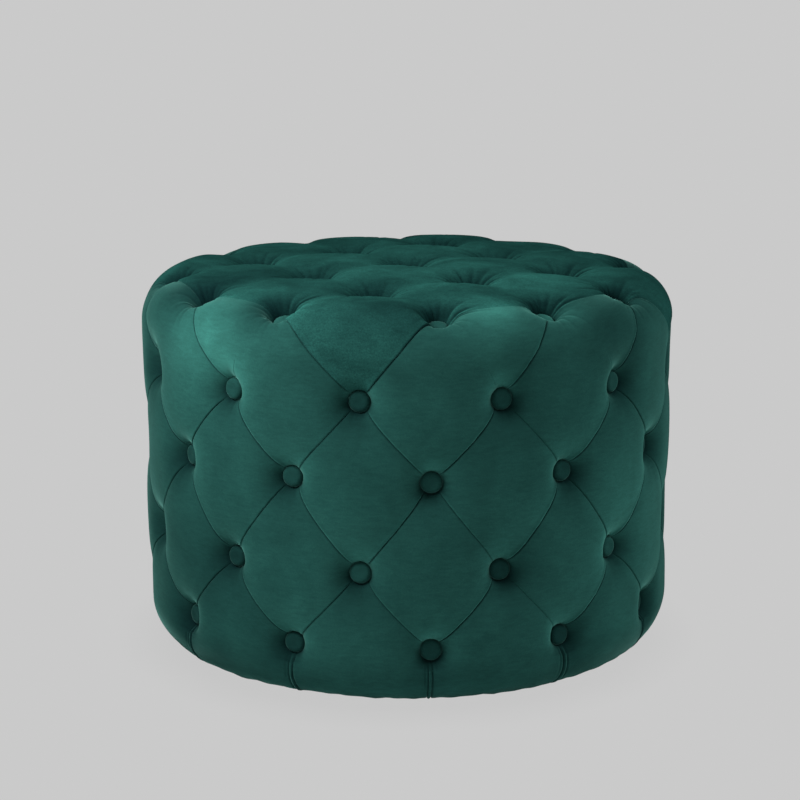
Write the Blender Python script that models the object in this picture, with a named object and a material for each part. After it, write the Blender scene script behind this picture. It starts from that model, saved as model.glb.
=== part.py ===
"""Round deep-buttoned drum stool: plywood frame, foam, a tufted velvet cover and covered buttons.

Metres, +Z up. The origin is on the floor under the middle of the stool, and the front faces -Y.
Angles run from the front (-Y) towards +X. A place on the cover is given as (reach, turn): the
distance from the middle of the top, measured along the cover over the rim and down the side,
and the angle round the stool.
"""

import math

import bmesh
import bpy
from mathutils import Matrix, Vector

# Outside of the cover
PUFF_RADIUS = 0.305
HEIGHT = 0.444
CROWN = 0.008
RIM_ROUNDING = 0.055
FOOT_ROUNDING = 0.045
FOOT_RISE = 0.058
GROUND_CLEARANCE = 0.007
HEM_INSET = 0.069
HEM_THICKNESS = 0.0022

# Tufting
COLUMNS = 12
FIRST_COLUMN = math.radians(5.0)
TOP_TURN = math.radians(-1.5)
RIM_PAIR = 2.0 * math.atan(1.0 / 3.0)
RIM_TUFT_INSET = 0.037
ROW_2_DROP = 0.1055
ROW_3_DROP = 0.0857
ROW_4_RISE = 0.0846
ROW_5_HEIGHT = 0.0685
KNEE_DROP = 0.038
SIDE_TUFT_DEPTH = 0.0235
TOP_TUFT_DEPTH = 0.032
SIDE_CREASE = 0.004
TOP_CREASE = 0.007
RIM_CREASE = 0.006
SLACK_CREASE = 0.0015
FOOT_CREASE = 0.004
SHOULDER_DROP = 0.003
SHOULDER_SHARE = 0.48
COVER_LEAST = 0.0017
SEAM_GAP = 0.0004
FOOT_ROWS = 3

# Buttons and tufting twine
BUTTON_DIAMETER = 0.025
BUTTON_HEIGHT = 0.0085
BUTTON_SIDES = 8
TWINE_RADIUS = 0.0012
TWINE_SLACK = 0.0006
TWINE_KNOT = 0.0003
TWINE_LAY = math.radians(25.0)
TWINE_SIDES = 4
TWINE_DROP = 0.003
TWINE_LAYER = 0.005
TWINE_HOLE_EDGE = 0.0097
TOGGLE_RADIUS = 0.009

# Foam and frame
CLEARANCE = 0.0003
SIDE_FOAM = 0.0225
TOP_FOAM = 0.038
FOAM_BEVEL = 0.026
LINING_BEVEL = 0.012
LINING_TURN = (0.25, 0.6)
FOOT_BEVEL = 0.020
WALL = 0.004
DECK = 0.012
BASE = 0.015
BASE_RING_WIDTH = 0.075
POSTS = 6
POST_WIDTH = 0.044
POST_DEPTH = 0.030
POST_CLEARANCE = 0.004
SCREW_DIAMETER = 0.0045
SCREW_HEAD_DIAMETER = 0.0090
SCREW_HEAD = 0.0032
SCREW_LENGTH = 0.042
SCREW_SIDES = 8
DUST_COVER = 0.0008
DUST_COVER_MARGIN = 0.0025
GLIDES = 4
FIRST_GLIDE = math.radians(45.0)
GLIDE_DIAMETER = 0.034
GLIDE_TAPER = 0.003
GLIDE_SIDES = 24
GLIDE_WEB = 0.004
GLIDE_SCREW_LENGTH = 0.013
ROUND_SIDES = 48

# Worked out from the sizes above
COLUMN = 2.0 * math.pi / COLUMNS
FACET = math.cos(math.pi / (2 * COLUMNS))
RIM_CENTRE_RADIUS = PUFF_RADIUS - RIM_ROUNDING
CROWN_ANGLE = 2.0 * math.atan(CROWN / RIM_CENTRE_RADIUS)
CROWN_RADIUS = (RIM_CENTRE_RADIUS + RIM_ROUNDING * math.sin(CROWN_ANGLE)) / math.sin(CROWN_ANGLE)
RIM_CENTRE_Z = HEIGHT - CROWN_RADIUS * (1.0 - math.cos(CROWN_ANGLE)) - RIM_ROUNDING * math.cos(CROWN_ANGLE)
CROWN_REACH = CROWN_RADIUS * CROWN_ANGLE
RIM_REACH = CROWN_REACH + RIM_ROUNDING * (math.pi / 2.0 - CROWN_ANGLE)
FOOT_Z = GROUND_CLEARANCE + FOOT_RISE
WALL_REACH = RIM_REACH + RIM_CENTRE_Z - FOOT_Z
FOOT_REACH = WALL_REACH + math.hypot(FOOT_ROUNDING, FOOT_RISE) / math.sqrt(2.0) * math.pi / 2.0
KNEE_REACH = max(RIM_REACH + RIM_CENTRE_Z - ROW_5_HEIGHT + KNEE_DROP, 0.8 * WALL_REACH + 0.2 * FOOT_REACH)
KNEE_SHARE = (KNEE_REACH - WALL_REACH) / (FOOT_REACH - WALL_REACH)
HEM_RADIUS = PUFF_RADIUS - HEM_INSET
HEM_REACH = FOOT_REACH + PUFF_RADIUS - FOOT_ROUNDING - HEM_RADIUS

RIM_TUFT_RADIUS = PUFF_RADIUS - RIM_TUFT_INSET
RIM_TUFT_ANGLE = math.asin((RIM_TUFT_RADIUS - RIM_CENTRE_RADIUS) / RIM_ROUNDING)
RIM_TUFT_REACH = CROWN_REACH + RIM_ROUNDING * (RIM_TUFT_ANGLE - CROWN_ANGLE)
RIM_PIT_Z = RIM_CENTRE_Z + (RIM_ROUNDING - TOP_TUFT_DEPTH) * math.cos(RIM_TUFT_ANGLE)
LATTICE = RIM_TUFT_RADIUS / 3.0
BUTTON_RADIUS = BUTTON_DIAMETER / 2.0
SEAT_RADIUS = BUTTON_RADIUS / math.cos(math.radians(36.0)) + CLEARANCE
HOLE_RADIUS = 4.0 * (TWINE_RADIUS + TWINE_SLACK) / math.sqrt(2.0)

LINING_RADIUS = PUFF_RADIUS - SIDE_TUFT_DEPTH - COVER_LEAST
LINING_TOP = RIM_PIT_Z - 0.6 * SEAT_RADIUS * math.sin(RIM_TUFT_ANGLE) - COVER_LEAST
LINING_BOTTOM = GROUND_CLEARANCE + HEM_THICKNESS
FOAM_RADIUS = LINING_RADIUS * FACET - CLEARANCE
FOAM_TOP = LINING_TOP - CLEARANCE
FRAME_RADIUS = FOAM_RADIUS - SIDE_FOAM - CLEARANCE
PANEL_RADIUS = FRAME_RADIUS - WALL - CLEARANCE
DECK_TOP = FOAM_TOP - TOP_FOAM - CLEARANCE
DECK_BOTTOM = DECK_TOP - DECK
BASE_BOTTOM = LINING_BOTTOM + CLEARANCE
BASE_TOP = BASE_BOTTOM + BASE
RIM_HOLE_RADIUS = PANEL_RADIUS - TWINE_HOLE_EDGE
POST_FACE = RIM_HOLE_RADIUS * math.cos(RIM_PAIR / 2.0) - TWINE_RADIUS - POST_CLEARANCE
POST_RADIUS = POST_FACE - POST_DEPTH / 2.0
GLIDE_TOP = LINING_BOTTOM - DUST_COVER - CLEARANCE

VELVET = ("emerald_velvet", (0.012, 0.066, 0.055), 0.75, 0.0)
FOAM_LOOK = ("cream_foam", (0.80, 0.72, 0.48), 0.9, 0.0)
PLYWOOD = ("birch_plywood", (0.62, 0.45, 0.26), 0.6, 0.0)
PINE = ("pine", (0.70, 0.52, 0.30), 0.65, 0.0)
STEEL = ("zinc_steel", (0.55, 0.55, 0.56), 0.35, 1.0)
CAMBRIC = ("black_cambric", (0.02, 0.02, 0.02), 0.9, 0.0)
PLASTIC = ("black_plastic", (0.03, 0.03, 0.03), 0.45, 0.0)


def material(look):
    name, colour, roughness, metallic = look
    found = bpy.data.materials.get(name)
    if found:
        return found
    made = bpy.data.materials.new(name)
    made.use_nodes = True
    shader = made.node_tree.nodes["Principled BSDF"]
    shader.inputs["Base Color"].default_value = (*colour, 1.0)
    shader.inputs["Roughness"].default_value = roughness
    shader.inputs["Metallic"].default_value = metallic
    return made


def add_object(name, mesh, look=None):
    """A named piece of the stool or, without a look, a hidden guide that cuts or joins."""
    piece = bpy.data.objects.new(name, mesh)
    bpy.context.scene.collection.objects.link(piece)
    piece.parent = stool
    if look is None:
        piece.hide_render = True
        piece.display_type = "WIRE"
    else:
        mesh.materials.append(material(look))
        mesh.set_sharp_from_angle(angle=math.radians(35.0))
    return piece


def mesh_of(shape, name):
    bmesh.ops.recalc_face_normals(shape, faces=shape.faces)
    mesh = bpy.data.meshes.new(name)
    shape.to_mesh(mesh)
    shape.free()
    mesh.shade_smooth()
    return mesh


def boolean(piece, guide, operation="DIFFERENCE"):
    step = piece.modifiers.new(guide.name, "BOOLEAN")
    step.operation = operation
    step.solver = "EXACT"
    step.object = guide


def around(radius, turn, z):
    return Vector((radius * math.sin(turn), -radius * math.cos(turn), z))


def turned(profile, sides, turns=None, place=Matrix(), shape=None):
    """A closed (radius, height) outline spun about Z; an outline that starts or ends at radius 0 is capped."""
    shape = shape or bmesh.new()
    on_axis = profile[0][0] == 0.0
    outline = [point for point in profile if point[0] > 0.0]
    rings = []
    for radius, z in outline:
        ring = []
        for i in range(sides):
            turn = turns[i] if turns else 2.0 * math.pi * i / sides
            ring.append(shape.verts.new(place @ around(radius, turn, z)))
        rings.append(ring)
    pairs = list(zip(rings, rings[1:]))
    if not on_axis:
        pairs.append((rings[-1], rings[0]))
    for lower, upper in pairs:
        for i in range(sides):
            j = (i + 1) % sides
            shape.faces.new((lower[i], lower[j], upper[j], upper[i]))
    if on_axis:
        shape.faces.new(rings[0])
        shape.faces.new(rings[-1])
    return shape


def facing(spot, axis):
    return Matrix.Translation(spot) @ axis.to_track_quat("Z", "Y").to_matrix().to_4x4()


def rod(shape, start, end, radius, sides):
    """A straight prism from start to end."""
    axis = end - start
    place = facing((start + end) / 2.0, axis) @ Matrix.Rotation(TWINE_LAY, 4, "Z")
    bmesh.ops.create_cone(shape, cap_ends=True, segments=sides, radius1=radius, radius2=radius,
                          depth=axis.length, matrix=place)


# The cover's outer profile, its lining and places on the sheet

def outer_profile(reach):
    """Radius, height and outward normal of the puffs' surface, with the stretch and the share of it."""
    if reach <= CROWN_REACH:
        angle = reach / CROWN_RADIUS
        centre_z = HEIGHT - CROWN_RADIUS
        spot = (CROWN_RADIUS * math.sin(angle), centre_z + CROWN_RADIUS * math.cos(angle))
        return spot, (math.sin(angle), math.cos(angle)), ("top", reach / CROWN_REACH)
    if reach <= RIM_REACH:
        angle = CROWN_ANGLE + (reach - CROWN_REACH) / RIM_ROUNDING
        spot = (RIM_CENTRE_RADIUS + RIM_ROUNDING * math.sin(angle), RIM_CENTRE_Z + RIM_ROUNDING * math.cos(angle))
        share = (reach - CROWN_REACH) / (RIM_REACH - CROWN_REACH)
        return spot, (math.sin(angle), math.cos(angle)), ("rim", share)
    if reach <= WALL_REACH:
        z = RIM_CENTRE_Z - (reach - RIM_REACH)
        return (PUFF_RADIUS, z), (1.0, 0.0), ("wall", z)
    if reach <= FOOT_REACH:
        share = (reach - WALL_REACH) / (FOOT_REACH - WALL_REACH)
        angle = share * math.pi / 2.0
        spot = (PUFF_RADIUS - FOOT_ROUNDING * (1.0 - math.cos(angle)), FOOT_Z - FOOT_RISE * math.sin(angle))
        facing_out = Vector((FOOT_RISE * math.cos(angle), -FOOT_ROUNDING * math.sin(angle))).normalized()
        return spot, tuple(facing_out), ("foot", share)
    share = (reach - FOOT_REACH) / (HEM_REACH - FOOT_REACH)
    return (PUFF_RADIUS - FOOT_ROUNDING - (reach - FOOT_REACH), GROUND_CLEARANCE), (0.0, -1.0), ("hem", share)


LINING_FLAT = LINING_RADIUS - LINING_BEVEL
LINING_SHOULDER = LINING_TOP - LINING_BEVEL


def lining_profile(stretch, share):
    """Radius and height of the plain inner face of the cover, under the same stretch of its outside."""
    under_crown = min(RIM_CENTRE_RADIUS, LINING_FLAT - LINING_BEVEL)
    if stretch == "top":
        return share * under_crown, LINING_TOP
    if stretch == "rim":
        start, end = LINING_TURN
        if share <= start:
            return under_crown + share / start * (LINING_FLAT - under_crown), LINING_TOP
        slope = min(1.0, (share - start) / (end - start)) * LINING_BEVEL
        return LINING_FLAT + slope, LINING_TOP - slope
    if stretch == "wall":
        return LINING_RADIUS, min(share, LINING_SHOULDER)
    if stretch == "foot":
        corner_z = LINING_BOTTOM + FOOT_BEVEL
        if share <= KNEE_SHARE:
            return LINING_RADIUS, FOOT_Z + share / KNEE_SHARE * (corner_z - FOOT_Z)
        slope = (share - KNEE_SHARE) / (1.0 - KNEE_SHARE) * FOOT_BEVEL
        return LINING_RADIUS - slope, corner_z - slope
    turn_under = LINING_RADIUS - FOOT_BEVEL
    return turn_under + share * (HEM_RADIUS - turn_under), LINING_BOTTOM


def side_reach(z):
    return RIM_REACH + RIM_CENTRE_Z - z


def blend(a, b, share):
    """The place at this share of the way from a to b: straight in plan on the top, on the side along it."""
    (reach_a, turn_a), (reach_b, turn_b) = a, b
    if min(reach_a, reach_b) >= RIM_TUFT_REACH - CLEARANCE:
        turn = math.remainder(turn_b - turn_a, 2.0 * math.pi)
        return reach_a + share * (reach_b - reach_a), turn_a + share * turn
    start = around(reach_a, turn_a, 0.0)
    spot = start.lerp(around(reach_b, turn_b, 0.0), share)
    return spot.length, math.atan2(spot.x, -spot.y)


def span(a, b):
    """Length of the way from a to b along the cover."""
    steps = 8
    spots = []
    for i in range(steps + 1):
        reach, turn = blend(a, b, i / steps)
        (radius, z), _, _ = outer_profile(reach)
        spots.append(around(radius, turn, z))
    return sum((second - first).length for first, second in zip(spots, spots[1:]))


def on_sheet(place, drop=0.0):
    """A point of the cover's outside, sunk by drop along the outward normal."""
    reach, turn = place
    (radius, z), (out, up), _ = outer_profile(reach)
    return around(radius - drop * out, turn, z - drop * up)


def on_lining(place):
    reach, turn = place
    _, _, (stretch, share) = outer_profile(reach)
    radius, z = lining_profile(stretch, share)
    return around(radius, turn, z)


# Tufts: where each button pulls the cover in, and where its twine is held

class Tuft:
    def __init__(self, place, depth, anchor_radius, anchor_z):
        self.place = place
        reach, turn = place
        (radius, z), (out, up), _ = outer_profile(reach)
        self.turn = turn
        self.axis = around(out, turn, up)
        self.drop = self.axis * depth
        self.pit = around(radius, turn, z) - self.drop
        self.anchor = around(anchor_radius, turn, anchor_z)
        self.pull = (self.anchor - self.pit).normalized()

    def lining_hole(self):
        """Where the twine leaves the cover's inner face."""
        corners = [(0.0, LINING_TOP), (LINING_FLAT, LINING_TOP), (LINING_RADIUS, LINING_SHOULDER),
                   (LINING_RADIUS, LINING_BOTTOM)]
        radius, z = math.hypot(self.pit.x, self.pit.y), self.pit.z
        inward = -math.hypot(self.pull.x, self.pull.y)
        down = self.pull.z
        ways = []
        for (r_a, z_a), (r_b, z_b) in zip(corners, corners[1:]):
            across = inward * (z_b - z_a) - down * (r_b - r_a)
            if abs(across) < 1e-9:
                continue
            way = ((r_a - radius) * (z_b - z_a) - (z_a - z) * (r_b - r_a)) / across
            share = ((r_a - radius) * down - (z_a - z) * inward) / across
            if way > 0.0 and -1e-6 <= share <= 1.0 + 1e-6:
                ways.append(way)
        return self.pit + self.pull * min(ways)


def rim_turn(k):
    """The rim's tufts stand on the square pattern of the top: one on each diagonal and a pair about each axis."""
    side = k % 3 - 1
    diagonal = FIRST_COLUMN + (k - side) * COLUMN + TOP_TURN
    return diagonal + side * (math.pi / 4.0 - RIM_PAIR / 2.0)


def row_of_tufts(name, count, first, reach, depth, anchor_radius, anchor_z):
    for k in range(count):
        turn = rim_turn(k) if name == "rim" else first + k * 2.0 * math.pi / count
        tufts[name, k] = Tuft((reach, turn), depth, anchor_radius, anchor_z)


HALF_COLUMN = FIRST_COLUMN + COLUMN / 2.0
ROW_2_Z = HEIGHT - ROW_2_DROP
ROW_3_Z = ROW_2_Z - ROW_3_DROP
ROW_4_Z = ROW_5_HEIGHT + ROW_4_RISE
UNDER_DECK = DECK_BOTTOM - TWINE_DROP
BEHIND_WALL = PANEL_RADIUS - TWINE_DROP
DIAGONAL = FIRST_COLUMN + COLUMN + TOP_TURN
SIDE_ROWS = {"row_2": (HALF_COLUMN, ROW_2_Z), "row_3": (FIRST_COLUMN, ROW_3_Z),
             "row_4": (HALF_COLUMN, ROW_4_Z), "row_5": (FIRST_COLUMN, ROW_5_HEIGHT)}

tufts = {}
row_of_tufts("rim", COLUMNS, FIRST_COLUMN, RIM_TUFT_REACH, TOP_TUFT_DEPTH, RIM_HOLE_RADIUS, UNDER_DECK)
for row_name, (first_turn, row_z) in SIDE_ROWS.items():
    row_of_tufts(row_name, COLUMNS, first_turn, side_reach(row_z), SIDE_TUFT_DEPTH, BEHIND_WALL, row_z)
row_of_tufts("inner", 4, DIAGONAL, LATTICE * math.sqrt(2.0), TOP_TUFT_DEPTH, LATTICE * math.sqrt(2.0), UNDER_DECK)
row_of_tufts("outer", 4, DIAGONAL + math.pi / 4.0, LATTICE * 2.0, TOP_TUFT_DEPTH, LATTICE * 2.0,
             UNDER_DECK - TWINE_LAYER)
row_of_tufts("middle", 1, 0.0, 0.0, TOP_TUFT_DEPTH, 0.0, UNDER_DECK)
knees = {("knee", k): (KNEE_REACH, FIRST_COLUMN + k * COLUMN) for k in range(COLUMNS)}


def place_of(corner):
    return knees[corner] if corner in knees else tufts[corner].place


def crease_depth(a, b):
    """How far the pleat between two neighbouring corners lies under the puffs, half-way along it."""
    rows = {a[0], b[0]}
    if rows == {"knee"}:
        return 0.0
    if rows == {"rim"}:
        return RIM_CREASE
    if rows == {"rim", "row_2"}:
        k_rim = a[1] if a[0] == "rim" else b[1]
        k_row = b[1] if a[0] == "rim" else a[1]
        over_the_corner = k_row % 3 == 2
        to_diagonal = k_rim % 3 == 1
        return SIDE_CREASE if over_the_corner or to_diagonal else SLACK_CREASE
    if rows & {"inner", "outer", "middle"}:
        return TOP_CREASE
    return SIDE_CREASE


def cover_cells():
    """The puffs of each cover panel, as rings of corners that run anticlockwise seen from outside."""
    top, front, back = [], [], []

    def ring(name, k):
        return name, k % (COLUMNS if name not in ("inner", "outer") else 4)

    for j in range(4):
        d = 1 + 3 * j
        top.append([("middle", 0), ring("inner", j), ring("outer", j), ring("inner", j + 1)])
        top.append([ring("rim", d - 1), ring("rim", d), ring("inner", j), ring("outer", j - 1)])
        top.append([ring("rim", d), ring("rim", d + 1), ring("outer", j), ring("inner", j)])
        top.append([ring("row_2", d + 1), ring("rim", d + 2), ring("outer", j), ring("rim", d + 1)])
    for k in range(COLUMNS):
        left_of_join = front if (k - JOIN - 1) % COLUMNS >= COLUMNS // 2 else back
        right_of_join = front if (k - JOIN) % COLUMNS >= COLUMNS // 2 else back
        if k % 3 != 2:
            right_of_join.append([ring("row_2", k), ring("rim", k + 1), ring("rim", k)])
        left_of_join.append([ring("row_2", k), ring("rim", k), ring("row_2", k - 1), ring("row_3", k)])
        right_of_join.append([ring("row_3", k + 1), ring("row_2", k), ring("row_3", k), ring("row_4", k)])
        left_of_join.append([ring("row_4", k), ring("row_3", k), ring("row_4", k - 1), ring("row_5", k)])
        right_of_join.append([ring("row_5", k + 1), ring("row_4", k), ring("row_5", k),
                              ring("knee", k), ring("knee", k + 1)])
    return {"top_cover": top, "side_cover_front": front, "side_cover_back": back}


JOIN = 3


class CoverPanel:
    """One panel of velvet on its wadding: puffs and pits outside, a plain lining inside, a hole for each twine."""

    def __init__(self, name, cells):
        self.shape = bmesh.new()
        self.cells = cells
        self.points = {}
        uses = {}
        for cell in cells:
            for a, b in zip(cell, cell[1:] + cell[:1]):
                uses[frozenset((a, b))] = uses.get(frozenset((a, b)), 0) + 1
        self.edge_of_panel = {pair for pair, count in uses.items() if count == 1}
        for index, cell in enumerate(cells):
            self.add_cell(index, cell)
        bmesh.ops.triangulate(self.shape, faces=self.shape.faces)
        add_object(name, mesh_of(self.shape, name), VELVET)

    def point(self, key, outside, inside=None):
        if key not in self.points:
            lining = None if inside is None else self.shape.verts.new(inside)
            self.points[key] = (self.shape.verts.new(outside), lining)
        return self.points[key]

    def face(self, *corners):
        self.shape.faces.new(corners)

    def drawn_in(self, place, crest, a, b):
        """A place on the panel's own edge, moved half the seam gap into the panel."""
        if frozenset((a, b)) in self.edge_of_panel:
            return blend(place, crest, SEAM_GAP / 2.0 / span(place, crest))
        return place

    def add_cell(self, index, cell):
        places = [place_of(corner) for corner in cell]
        crest = self.middle_of(places)
        top = self.point(("crest", index), on_sheet(crest), on_lining(crest))
        for i, corner in enumerate(cell):
            after = cell[(i + 1) % len(cell)]
            before = cell[i - 1]
            middles = [self.middle_point(corner, other, crest) for other in (after, before)]
            share = SHOULDER_SHARE
            shoulder = self.point(("shoulder", index, i),
                                  on_sheet(blend(places[i], crest, share), SHOULDER_DROP))[0]
            if corner in knees:
                self.add_knee(corner, crest, after, before, middles, shoulder, top)
            else:
                self.add_tuft_corner(index, corner, crest, after, before, middles, shoulder, top)
            for ahead, behind in ((top[0], middles[0][0]), (middles[1][0], top[0])):
                self.face(behind, ahead, shoulder)
        if cell[-1] in knees:
            self.add_foot(cell[-2], cell[-1], crest)

    @staticmethod
    def middle_of(places):
        if min(reach for reach, _ in places) >= RIM_TUFT_REACH - CLEARANCE:
            turns = [math.remainder(turn - places[0][1], 2.0 * math.pi) for _, turn in places]
            reach = sum(reach for reach, _ in places) / len(places)
            return reach, places[0][1] + (min(turns) + max(turns)) / 2.0
        spot = sum((around(reach, turn, 0.0) for reach, turn in places), Vector()) / len(places)
        return spot.length, math.atan2(spot.x, -spot.y)

    def middle_point(self, corner, other, crest):
        place = self.drawn_in(blend(place_of(corner), place_of(other), 0.5), crest, corner, other)
        key = ("middle", frozenset((corner, other)))
        return self.point(key, on_sheet(place, crease_depth(corner, other)), on_lining(place))

    def add_tuft_corner(self, index, corner, crest, after, before, middles, shoulder, top):
        tuft = tufts[corner]
        holes, seats, seat_places = [], [], []
        lining_hole = tuft.lining_hole()
        for other in (after, before):
            way = span(tuft.place, place_of(other))
            hole = self.drawn_in(blend(tuft.place, place_of(other), HOLE_RADIUS / way), crest, corner, other)
            seat = self.drawn_in(blend(tuft.place, place_of(other), SEAT_RADIUS / way), crest, corner, other)
            out = on_sheet(hole) - tuft.drop
            holes.append(self.point(("hole", corner, other), out, lining_hole + out - tuft.pit))
            seats.append(self.point(("seat", corner, other), on_sheet(seat) - tuft.drop)[0])
            seat_places.append(seat)
        between = blend(*seat_places, 0.5)
        bed_place = blend(tuft.place, between, SEAT_RADIUS / span(tuft.place, between))
        bed = self.point(("bed", index, corner), on_sheet(bed_place) - tuft.drop)[0]
        self.face(holes[1][0], holes[0][0], seats[0], bed, seats[1])
        self.face(seats[0], middles[0][0], shoulder)
        self.face(seats[0], shoulder, bed)
        self.face(bed, shoulder, seats[1])
        self.face(seats[1], shoulder, middles[1][0])
        self.add_lining(tuft, lining_hole, [hole[1] for hole in holes], [middle[1] for middle in middles], top[1])
        self.face(holes[0][0], holes[1][0], holes[1][1], holes[0][1])
        for i, other in enumerate((after, before)):
            if frozenset((corner, other)) in self.edge_of_panel:
                seam = (middles[i][0], seats[i], holes[i][0], holes[i][1], middles[i][1])
                for j, k, m in ((0, 1, 4), (1, 3, 4), (1, 2, 3)):
                    self.face(seam[j], seam[k], seam[m])

    def add_lining(self, tuft, hole, holes, middles, top):
        """The inner face of one corner of a puff, folded along whichever line stands further out."""
        across = (middles[0].co + middles[1].co) / 2.0
        along = (hole + top.co) / 2.0
        if (along - across).dot(tuft.axis + top.co.normalized()) < 0.0:
            self.face(holes[1], middles[1], middles[0], holes[0])
            self.face(middles[1], top, middles[0])
        else:
            self.face(holes[1], middles[1], top)
            self.face(holes[1], top, holes[0])
            self.face(holes[0], top, middles[0])

    def knee_point(self, corner, crest, row):
        """A point on a pleat that runs down over the foot, row 0 at the foot of the lowest puffs."""
        turn = knees[corner][1]
        pleat = frozenset((corner, ("row_5", corner[1])))
        if pleat in self.edge_of_panel:
            turn += math.copysign(SEAM_GAP / 2.0 / PUFF_RADIUS, math.remainder(crest[1] - turn, 2.0 * math.pi))
        place = (foot_reach(row), turn)
        drop = FOOT_CREASE * (1.0 - row / (FOOT_ROWS + 1))
        return self.point(("knee", corner, row), on_sheet(place, drop), on_lining(place))

    def add_knee(self, corner, crest, after, before, middles, shoulder, top):
        knee = self.knee_point(corner, crest, 0)
        self.face(knee[0], middles[0][0], shoulder)
        self.face(knee[0], shoulder, middles[1][0])
        self.face(knee[1], middles[1][1], top[1], middles[0][1])
        if frozenset((corner, after)) in self.edge_of_panel and after not in knees:
            self.face(middles[0][0], knee[0], knee[1], middles[0][1])
        if frozenset((corner, before)) in self.edge_of_panel and before not in knees:
            self.face(knee[0], middles[1][0], middles[1][1], knee[1])

    def add_foot(self, left, right, crest):
        """The band round the lower edge and under the frame, below one puff."""
        columns = []
        for row in range(FOOT_ROWS + 2):
            middle_place = (foot_reach(row), crest[1])
            key = ("middle", frozenset((left, right))) if row == 0 else ("foot", left, row)
            middle = self.point(key, on_sheet(middle_place), on_lining(middle_place))
            columns.append((self.knee_point(left, crest, row), middle, self.knee_point(right, crest, row)))
        for upper, lower in zip(columns, columns[1:]):
            for i in (0, 1):
                self.face(lower[i][0], lower[i + 1][0], upper[i + 1][0], upper[i][0])
                self.face(upper[i][1], upper[i + 1][1], lower[i + 1][1], lower[i][1])
            if frozenset((left, ("row_5", left[1]))) in self.edge_of_panel:
                self.face(lower[0][0], upper[0][0], upper[0][1], lower[0][1])
            if frozenset((right, ("row_5", right[1]))) in self.edge_of_panel:
                self.face(upper[2][0], lower[2][0], lower[2][1], upper[2][1])
        hem = columns[-1]
        for i in (0, 1):
            self.face(hem[i + 1][0], hem[i][0], hem[i][1], hem[i + 1][1])


def foot_reach(row):
    if row <= FOOT_ROWS:
        return KNEE_REACH + (FOOT_REACH - KNEE_REACH) * row / FOOT_ROWS
    return HEM_REACH


# Buttons on their twine

def button_outline():
    """Half outline of a covered button: a slightly hollowed back edge and a low dome."""
    return [(0.0, 0.0), (0.92 * BUTTON_RADIUS, 0.0), (BUTTON_RADIUS, 0.24 * BUTTON_HEIGHT),
            (0.84 * BUTTON_RADIUS, 0.68 * BUTTON_HEIGHT), (0.44 * BUTTON_RADIUS, BUTTON_HEIGHT),
            (0.0, BUTTON_HEIGHT)]


def add_button_row(name, row):
    """The covered buttons of one row, strung on the twine that ties them to the frame."""
    members = [tuft for (row_name, _), tuft in tufts.items() if row_name == row]
    caps, stems = bmesh.new(), bmesh.new()
    for tuft in members:
        seat = tuft.pit + tuft.axis * CLEARANCE
        turned(button_outline(), BUTTON_SIDES, place=facing(seat, tuft.axis), shape=caps)
        rod(stems, tuft.anchor, tuft.pit - tuft.pull * BUTTON_HEIGHT / 2.0, TWINE_RADIUS, TWINE_SIDES)
    held = members[0].anchor
    reach = math.hypot(held.x, held.y)
    half = TWINE_RADIUS + TWINE_KNOT
    if len(members) > 1:
        section = [(reach - half, held.z - half), (reach + half, held.z - half),
                   (reach + half, held.z + half), (reach - half, held.z + half)]
        tie = turned(section, len(members), turns=[tuft.turn for tuft in members])
    else:
        section = [(0.0, held.z - half), (TOGGLE_RADIUS, held.z - half),
                   (TOGGLE_RADIUS, held.z + half), (0.0, held.z + half)]
        tie = turned(section, BUTTON_SIDES)
    piece = add_object(name, mesh_of(tie, name), VELVET)
    boolean(piece, add_object(f"{name}_stems", mesh_of(stems, f"{name}_stems")), "UNION")
    boolean(piece, add_object(f"{name}_caps", mesh_of(caps, f"{name}_caps")), "UNION")


def twine_holes():
    """Guide that bores every layer behind the cover for the twine."""
    shape = bmesh.new()
    for tuft in tufts.values():
        rod(shape, tuft.anchor + tuft.pull * TWINE_DROP, tuft.pit, TWINE_RADIUS + TWINE_SLACK, TWINE_SIDES)
    return add_object("twine_holes", mesh_of(shape, "twine_holes"))


# Foam and frame

def add_turned(name, profile, look, sides=ROUND_SIDES):
    return add_object(name, mesh_of(turned(profile, sides), name), look)


def add_foam(holes):
    inner = FRAME_RADIUS + CLEARANCE
    foot = BASE_BOTTOM + FOOT_BEVEL
    side = add_turned("side_foam", [(inner, BASE_BOTTOM), (FOAM_RADIUS - FOOT_BEVEL, BASE_BOTTOM),
                                    (FOAM_RADIUS, foot), (FOAM_RADIUS, DECK_TOP), (inner, DECK_TOP)], FOAM_LOOK)
    bevel = FOAM_BEVEL
    bottom = DECK_TOP + CLEARANCE
    shoulder = max(FOAM_TOP - bevel, bottom + CLEARANCE)
    top = add_turned("top_foam", [(0.0, bottom), (FOAM_RADIUS, bottom), (FOAM_RADIUS, shoulder),
                                  (FOAM_RADIUS - bevel, FOAM_TOP), (0.0, FOAM_TOP)], FOAM_LOOK)
    boolean(side, holes)
    boolean(top, holes)


def screw_outline(length, grow=0.0):
    """Half outline of a countersunk screw whose head lies at height 0 and whose point is above it."""
    shank = SCREW_DIAMETER / 2.0 + grow
    head = SCREW_HEAD_DIAMETER / 2.0 + grow
    point = length + grow - SCREW_DIAMETER
    return [(0.0, -grow), (head, -grow), (shank, SCREW_HEAD), (shank, point), (0.4 * shank, length + grow),
            (0.0, length + grow)]


def add_screws(name, places, length):
    """Screws as separate pieces, and one guide that makes room for them all."""
    room = bmesh.new()
    for i, place in enumerate(places):
        screw = turned(screw_outline(length), SCREW_SIDES, place=place)
        add_object(f"{name}_{i + 1}", mesh_of(screw, name), STEEL)
        turned(screw_outline(length, CLEARANCE), SCREW_SIDES, place=place, shape=room)
    return add_object(f"{name}_room", mesh_of(room, f"{name}_room"))


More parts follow.
